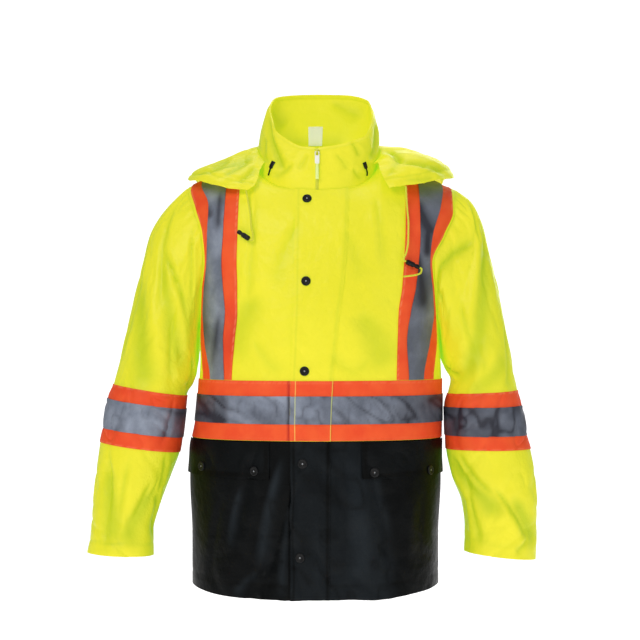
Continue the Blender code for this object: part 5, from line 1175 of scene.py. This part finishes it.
for side, first, last in (("right", tabValues["inner"], tabValues["outer"]),
                          ("left", collarLast - tabValues["outer"], collarLast - tabValues["inner"])):
    heights = np.linspace(tabValues["low"], tabValues["high"], 48)
    points, normals, creaseShade = collarSurface(np.linspace(first, last, 12), heights)
    # below its head the tab narrows to a strap: width = strap + (1 - strap) * soft step at the neck
    share = tabValues["strap"] + (1 - tabValues["strap"]) * softStep((heights - tabValues["neck"]) / 0.03)
    middle = points.mean(axis=1, keepdims=True)
    points = middle + (points - middle) * share[:, None, None]
    crown = tabValues["crown"] * softStep(np.min(edgeDistances(points), axis=0) / 0.0012)
    clothPiece("hood_tab_" + side + "_moulded", "hood_tab_" + side, points + normals * crown[..., None], normals,
               0.0011, 0.0022, blackPlastic)
print("label and tabs made")


# Snaps: caps with a rolled rim round a shallow dish, and a small light rivet head in its middle, its light grey partly
# a painted glint.
snapValues = {"radius": 0.0080, "thick": 0.0024, "sides": 48, "lift": 0.0024,
              "profile": ((0.0, 0.0), (0.86, 0.0), (0.96, 0.06), (1.0, 0.30), (0.99, 0.60), (0.94, 0.86), (0.87, 0.98),
                          (0.79, 1.0), (0.72, 0.95), (0.67, 0.80), (0.62, 0.62), (0.52, 0.55), (0.32, 0.56),
                          (0.20, 0.58), (0.17, 0.70), (0.12, 0.78), (0.0, 0.80))}
flapSnaps = ((-0.0168, -0.059), (-0.0185, -0.1986), (-0.0210, -0.3500), (-0.0242, -0.5056), (-0.0277, -0.6633))
pocketSnaps = {"right": ((-0.1046, -0.5186), (-0.1960, -0.5144)), "left": ((0.0968, -0.5210), (0.1925, -0.5213))}


def pocketSurface(rows, columns):
    # the pocket flap's outer face: the cloth under it plus 1.2 mm along its normals
    points, creaseShade = clothAt(side, rows, columns)
    normals = gridNormals(points, bodyMiddle)
    return points + normals * 0.0012, normals


def snapAt(name, replaced, surface, rows, columns, x, z):
    # a cap where a look straight back at (x, z) meets the cloth: at the nearest point of the grid
    points, normals = surface(rows, columns)[:2]
    near = np.argmin((points[..., 0] - x) ** 2 + (points[..., 2] - z) ** 2)
    place, out = points.reshape(-1, 3)[near], normals.reshape(-1, 3)[near]
    start = np.array([x, place[1], z]) + out * snapValues["lift"]
    sides, rings = snapValues["sides"], len(snapValues["profile"]) - 2
    mesh = lathe(name, snapValues["profile"], start, start + out * snapValues["thick"], sides, snapValues["radius"])
    placed(name, replaced, mesh, blackPlastic, angle=35)
    mesh.materials.append(rivetAndGlint)
    index = np.zeros(len(mesh.polygons), np.int32)
    index[(rings - 2) * sides:(rings - 1) * sides] = index[-sides:] = 1
    mesh.polygons.foreach_set("material_index", index)


for number, (x, z) in enumerate(flapSnaps, start=1):
    snapAt("snap_cap_%d" % number, "snap_%d" % number, flapSurface, between(0, flapTop, 24), between(-2, 2, 20), x, z)
for side in ("right", "left"):
    for place, (x, z) in zip(("inner", "outer"), pocketSnaps[side]):
        snapAt("pocket_snap_cap_%s_%s" % (side, place), "pocket_snap_%s_%s" % (side, place), pocketSurface,
               between(rowPocket, rowTapeBottom, 40), between(4, frontSideColumn, 20), x, z)
print("snaps made")


# Zip: teeth, slider, pull tab and its tail.
zipValues = {"pitch": 0.0028, "toothHeight": 0.0009, "stop": 0.0040, "step": 0.0007, "thick": 0.0012}
lower = [clothAt(side, between(0, rowTop, 60), 0)[0][:, 0] for side in ("right", "left")]
collarEnds = collarSurface(np.array([0.0, 0.05, 19.95, 20.0]), np.linspace(0, 1, 200)[1:])[0]
chain = np.stack([np.concatenate([lower[0], collarEnds[:, 0]]), np.concatenate([lower[1], collarEnds[:, -1]])], axis=1)
run = runs(chain.mean(axis=1)[:, None], 0)[:, 0]
keep = np.arange(0, run[-1] - zipValues["stop"], zipValues["step"])
edges = [np.stack([np.interp(keep, run, chain[:, k, axis]) for axis in range(3)], axis=1)[:, None] for k in (0, 1)]
share = np.linspace(0.03, 0.97, 14)[None, :, None]
points = edges[0] * (1 - share) + edges[1] * share
normals = unit(gridNormals(points, bodyMiddle) * np.array([0.2, 1.0, 1.0]))
# teeth of the two sides meet in the middle, half a pitch apart
share = share[..., 0]
turn = 2 * math.pi * (keep[:, None] / zipValues["pitch"] + np.where(share < 0.5, 0.0, 0.5))
tooth = softStep(np.cos(turn) * 1.6 + 0.6)
tooth = tooth * softStep(share / 0.12) * softStep((1 - share) / 0.12)
lift = zipValues["toothHeight"] * tooth - 0.0004
clothPiece("zip_chain_moulded", "zip_chain", points + normals * lift[..., None], normals, -zipValues["thick"], 0.0,
           zipPlastic, shade=0.4 * (1 - tooth))


def plate(outline, low, high, edge, hole=None):
    # a flat plate between two heights: outline and hole are loops of (x, y), edges eased by `edge`;
    # without a hole its two faces are closed by one face each
    def grown(loop, by):
        # the loop moved outward from its middle
        return loop + unit(loop - loop.mean(axis=0)) * by
    loops = [(grown(outline, -edge), low), (outline, low + edge), (outline, high - edge), (grown(outline, -edge), high)]
    if hole is not None:
        loops += [(grown(hole, edge), high), (hole, high - edge), (hole, low + edge), (grown(hole, edge), low)]
    flat = np.concatenate([np.c_[loop, np.full(len(loop), level)] for loop, level in loops])
    number = np.arange(len(flat)).reshape(len(loops), len(outline))
    if hole is not None:
        return flat, ringFaces(np.concatenate([number, number[:1]])).tolist()
    return flat, ringFaces(number).tolist() + [number[0][::-1].tolist(), number[-1].tolist()]


def roundedBox(width, top, bottom, radius, angles):
    # outline of a rounded rectangle, read by angle about the origin
    turn = np.radians(np.arange(0, 360, 3.0))
    x = np.sign(np.cos(turn)) * (width / 2 - radius)
    y = np.where(np.sin(turn) > 0, top - radius, bottom + radius)
    loop = np.c_[x, y] + radius * np.c_[np.cos(turn), np.sin(turn)]
    loop = np.concatenate([loop, loop[:1]])
    part = np.linspace(0, 1, 30, endpoint=False)[:, None, None]
    fine = (loop[None, :-1] * (1 - part) + loop[None, 1:] * part).reshape(-1, 2)
    seen = np.arctan2(fine[:, 1], fine[:, 0])
    order = np.argsort(seen)
    reach = np.interp(angles, seen[order], np.linalg.norm(fine, axis=1)[order], period=2 * math.pi)
    return np.c_[np.cos(angles), np.sin(angles)] * reach[:, None]


def inFrame(flat, origin):
    # (across, up, out) in the slider's frame to world
    return origin + flat[:, :1] * sliderAcross + flat[:, 1:2] * sliderUp + flat[:, 2:] * sliderOut


sliderAcross = np.array([1.0, 0.0, 0.0])
sliderUp = np.array([0.0, 0.248057, 0.968746])
sliderOut = np.array([0.0, -0.968746, 0.248057])
hinge = np.array([0.0, -0.0972992, 0.0232505])  # the CAD's joint
sliderValues = {"width": 0.0090, "half": 0.00575, "corner": 0.0018, "thick": 0.0030, "edge": 0.0006,
                "narrowing": 0.16, "barHalfWidth": 0.0011, "barHalfThick": 0.0006}
sliderBase = hinge - sliderOut * 0.00525 + sliderUp * 0.0008
angles = np.radians(np.arange(0, 360, 6.0))
# the slider's body narrows downwards a little: its lower half is drawn in by up to a sixth
outline = roundedBox(sliderValues["width"], sliderValues["half"], -sliderValues["half"], sliderValues["corner"], angles)
outline[:, 0] *= 1 - sliderValues["narrowing"] * softStep(-outline[:, 1] / 0.0057)
bodyFlat, faces = plate(outline, 0.0, sliderValues["thick"], sliderValues["edge"])
# bridge: a flat bar bent to an arch, a rounded rectangle |cos| ** 0.5, |sin| ** 0.5 swept along it
arch = rowsOf("1.8 -3.6, 5 -3.6, 6.2 -3.2, 7 -2.2, 7 2.2, 6.2 3.2, 5 3.6, 1.8 3.6", (1000,) * 2)
archRun = runs(arch[:, None], 0)[:, 0]
line = readCurve(np.linspace(0, archRun[-1], 36), archRun, arch)
tangent = unit(np.gradient(line, axis=0))
turn = 2 * math.pi * np.arange(16) / 16
sectionX, sectionY = (size * np.sign(wave) * np.abs(wave) ** 0.5 for size, wave in (
    (sliderValues["barHalfWidth"], np.cos(turn)), (sliderValues["barHalfThick"], np.sin(turn))))
bar = line[:, None] + np.c_[-tangent[:, 1], tangent[:, 0]][:, None] * sectionY[None, :, None]
barFlat = np.stack([np.broadcast_to(sectionX, bar.shape[:2]), bar[..., 1], bar[..., 0]], axis=-1).reshape(-1, 3)
number = np.arange(len(barFlat)).reshape(len(line), -1) + len(bodyFlat)
faces += ringFaces(number).tolist() + [number[0][::-1].tolist(), number[-1].tolist()]
mesh = meshOf("zip_slider_moulded", inFrame(np.concatenate([bodyFlat, barFlat]), sliderBase), faces)
mesh.validate()
placed(mesh.name, "zip_slider", mesh, zipPlastic, angle=40)

# pull tab: a rounded plate with an eye for the bridge
pullValues = {"width": 0.0078, "length": 0.0215, "bar": 0.0011, "eyeWidth": 0.0050, "eyeLength": 0.0066,
              "corner": 0.0016, "eyeCorner": 0.0012, "edge": 0.00025}
half = pullValues["bar"] / 2
middle = -pullValues["eyeLength"] / 2 - half / 2
outline = roundedBox(pullValues["width"], half - middle, -pullValues["length"] - middle, pullValues["corner"], angles)
eye = roundedBox(pullValues["eyeWidth"], -half - middle, -pullValues["eyeLength"] - middle,
                 pullValues["eyeCorner"], angles)
flat, faces = plate(outline, -half, half, pullValues["edge"], eye)
flat[:, 1] += middle
mesh = meshOf("zip_pull_tab_moulded", inFrame(flat, hinge), faces)
mesh.validate()
placed(mesh.name, "zip_pull_tab", mesh, whitePlastic, "pull", angle=40)
# its tail: a short flat braid, stitched through once near the top
tailValues = {"gap": 0.0003, "length": 0.0270, "half": 0.0026, "thick": 0.0009, "ridges": 0.0014}
tailTop = -pullValues["length"] - tailValues["gap"]
down, across = np.linspace(tailTop, tailTop - tailValues["length"], 60), np.linspace(-1, 1, 14) * tailValues["half"]
waist = 1 - 0.12 * bell(down - tailTop + 0.004, 0.002) + 0.02 * np.sin(down * 2 * math.pi / 0.0012)
grid = np.stack(np.broadcast_arrays(across[None, :] * waist[:, None], down[:, None], 0.0), axis=-1)
crown = 0.0002 * np.sin(down[:, None] * 2 * math.pi / tailValues["ridges"] + across[None, :] * 2 * math.pi / 0.0018)
points = inFrame(grid.reshape(-1, 3), hinge).reshape(grid.shape)
normals = np.broadcast_to(sliderOut, points.shape)
clothPiece("zip_pull_tail_woven", "zip_pull_tail", points + normals * crown[..., None], normals,
           -tailValues["thick"] / 2, tailValues["thick"] / 2, tailCord, body="pull")
print("zip made")


# Floor, light and view.
def stagePiece(name, points, faces, colourHex, glow):
    # matt paint that gives off a little light itself, so the floor stays pale without hard shadows
    looks, tree, shader = newMaterial(name + "_paint")
    joinInputs(tree, shader, {"Base Color": colourHex, "Roughness": 0.9, "Emission Color": "#FFFFFF",
                              "Emission Strength": glow})
    mesh = meshOf(name, points, faces)
    mesh.materials.append(looks)
    mesh.shade_smooth()
    made = bpy.data.objects.new(name, mesh)
    bpy.context.scene.collection.objects.link(made)
    return made


floorValues = {"height": -0.90, "reach": 2.3, "glow": 0.55}
corners = [(x * floorValues["reach"], y * floorValues["reach"], floorValues["height"])
           for x, y in ((-1, -1), (1, -1), (1, 1), (-1, 1))]
stagePiece("studio_floor", corners, [(0, 1, 2, 3)], "#F4F4F4", floorValues["glow"])
# a white dome round it all, seen by the camera alone: points at radius r, rising r * sin(angle)
domeValues = {"radius": 14.0, "sides": 48, "rings": 24}
turn = 2 * math.pi * np.arange(domeValues["sides"]) / domeValues["sides"]
rise = (np.linspace(-0.49, 0.49, domeValues["rings"]) * math.pi)[:, None]
dome = domeValues["radius"] * np.stack(np.broadcast_arrays(
    np.cos(rise) * np.cos(turn), np.cos(rise) * np.sin(turn), np.sin(rise)), axis=-1)
faces = ringFaces(np.arange(dome[..., 0].size).reshape(dome.shape[:2]))[:, ::-1]
backdrop = stagePiece("studio_dome", dome.reshape(-1, 3), faces.tolist(), "#FFFFFF", 1.0)
backdrop.visible_diffuse = backdrop.visible_glossy = backdrop.visible_shadow = backdrop.visible_transmission = False

lightValues = {
    # place, what it looks at, size in metres, watts
    "key": ((-1.0, -2.2, 1.2), (0.0, 0.0, -0.25), 1.2, 29.0),
    "fill": ((1.9, -1.9, 0.5), (0.0, 0.0, -0.3), 1.6, 8.0),
    "top": ((0.1, 0.4, 1.8), (0.0, 0.0, -0.2), 1.4, 15.0),
    "back": ((0.8, 1.9, 0.6), (0.0, 0.0, -0.3), 1.6, 22.0),
    "low": ((-0.4, -2.4, -0.7), (0.0, 0.0, -0.4), 1.6, 3.0),
}
for name, (place, target, size, watts) in lightValues.items():
    lamp = bpy.data.lights.new("softbox_" + name, "AREA")
    lamp.size = size
    lamp.energy = watts
    made = bpy.data.objects.new("softbox_" + name, lamp)
    made.location = place
    made.rotation_euler = (Vector(target) - Vector(place)).to_track_quat("-Z", "Y").to_euler()
    bpy.context.scene.collection.objects.link(made)
world = bpy.data.worlds.new("studio_air")
world.use_nodes = True
air = world.node_tree.nodes["Background"].inputs
air["Color"].default_value = (1.0, 1.0, 1.0, 1.0)
air["Strength"].default_value = 0.30
bpy.context.scene.world = world
bpy.context.scene.view_settings.view_transform = "Standard"


print("all made")
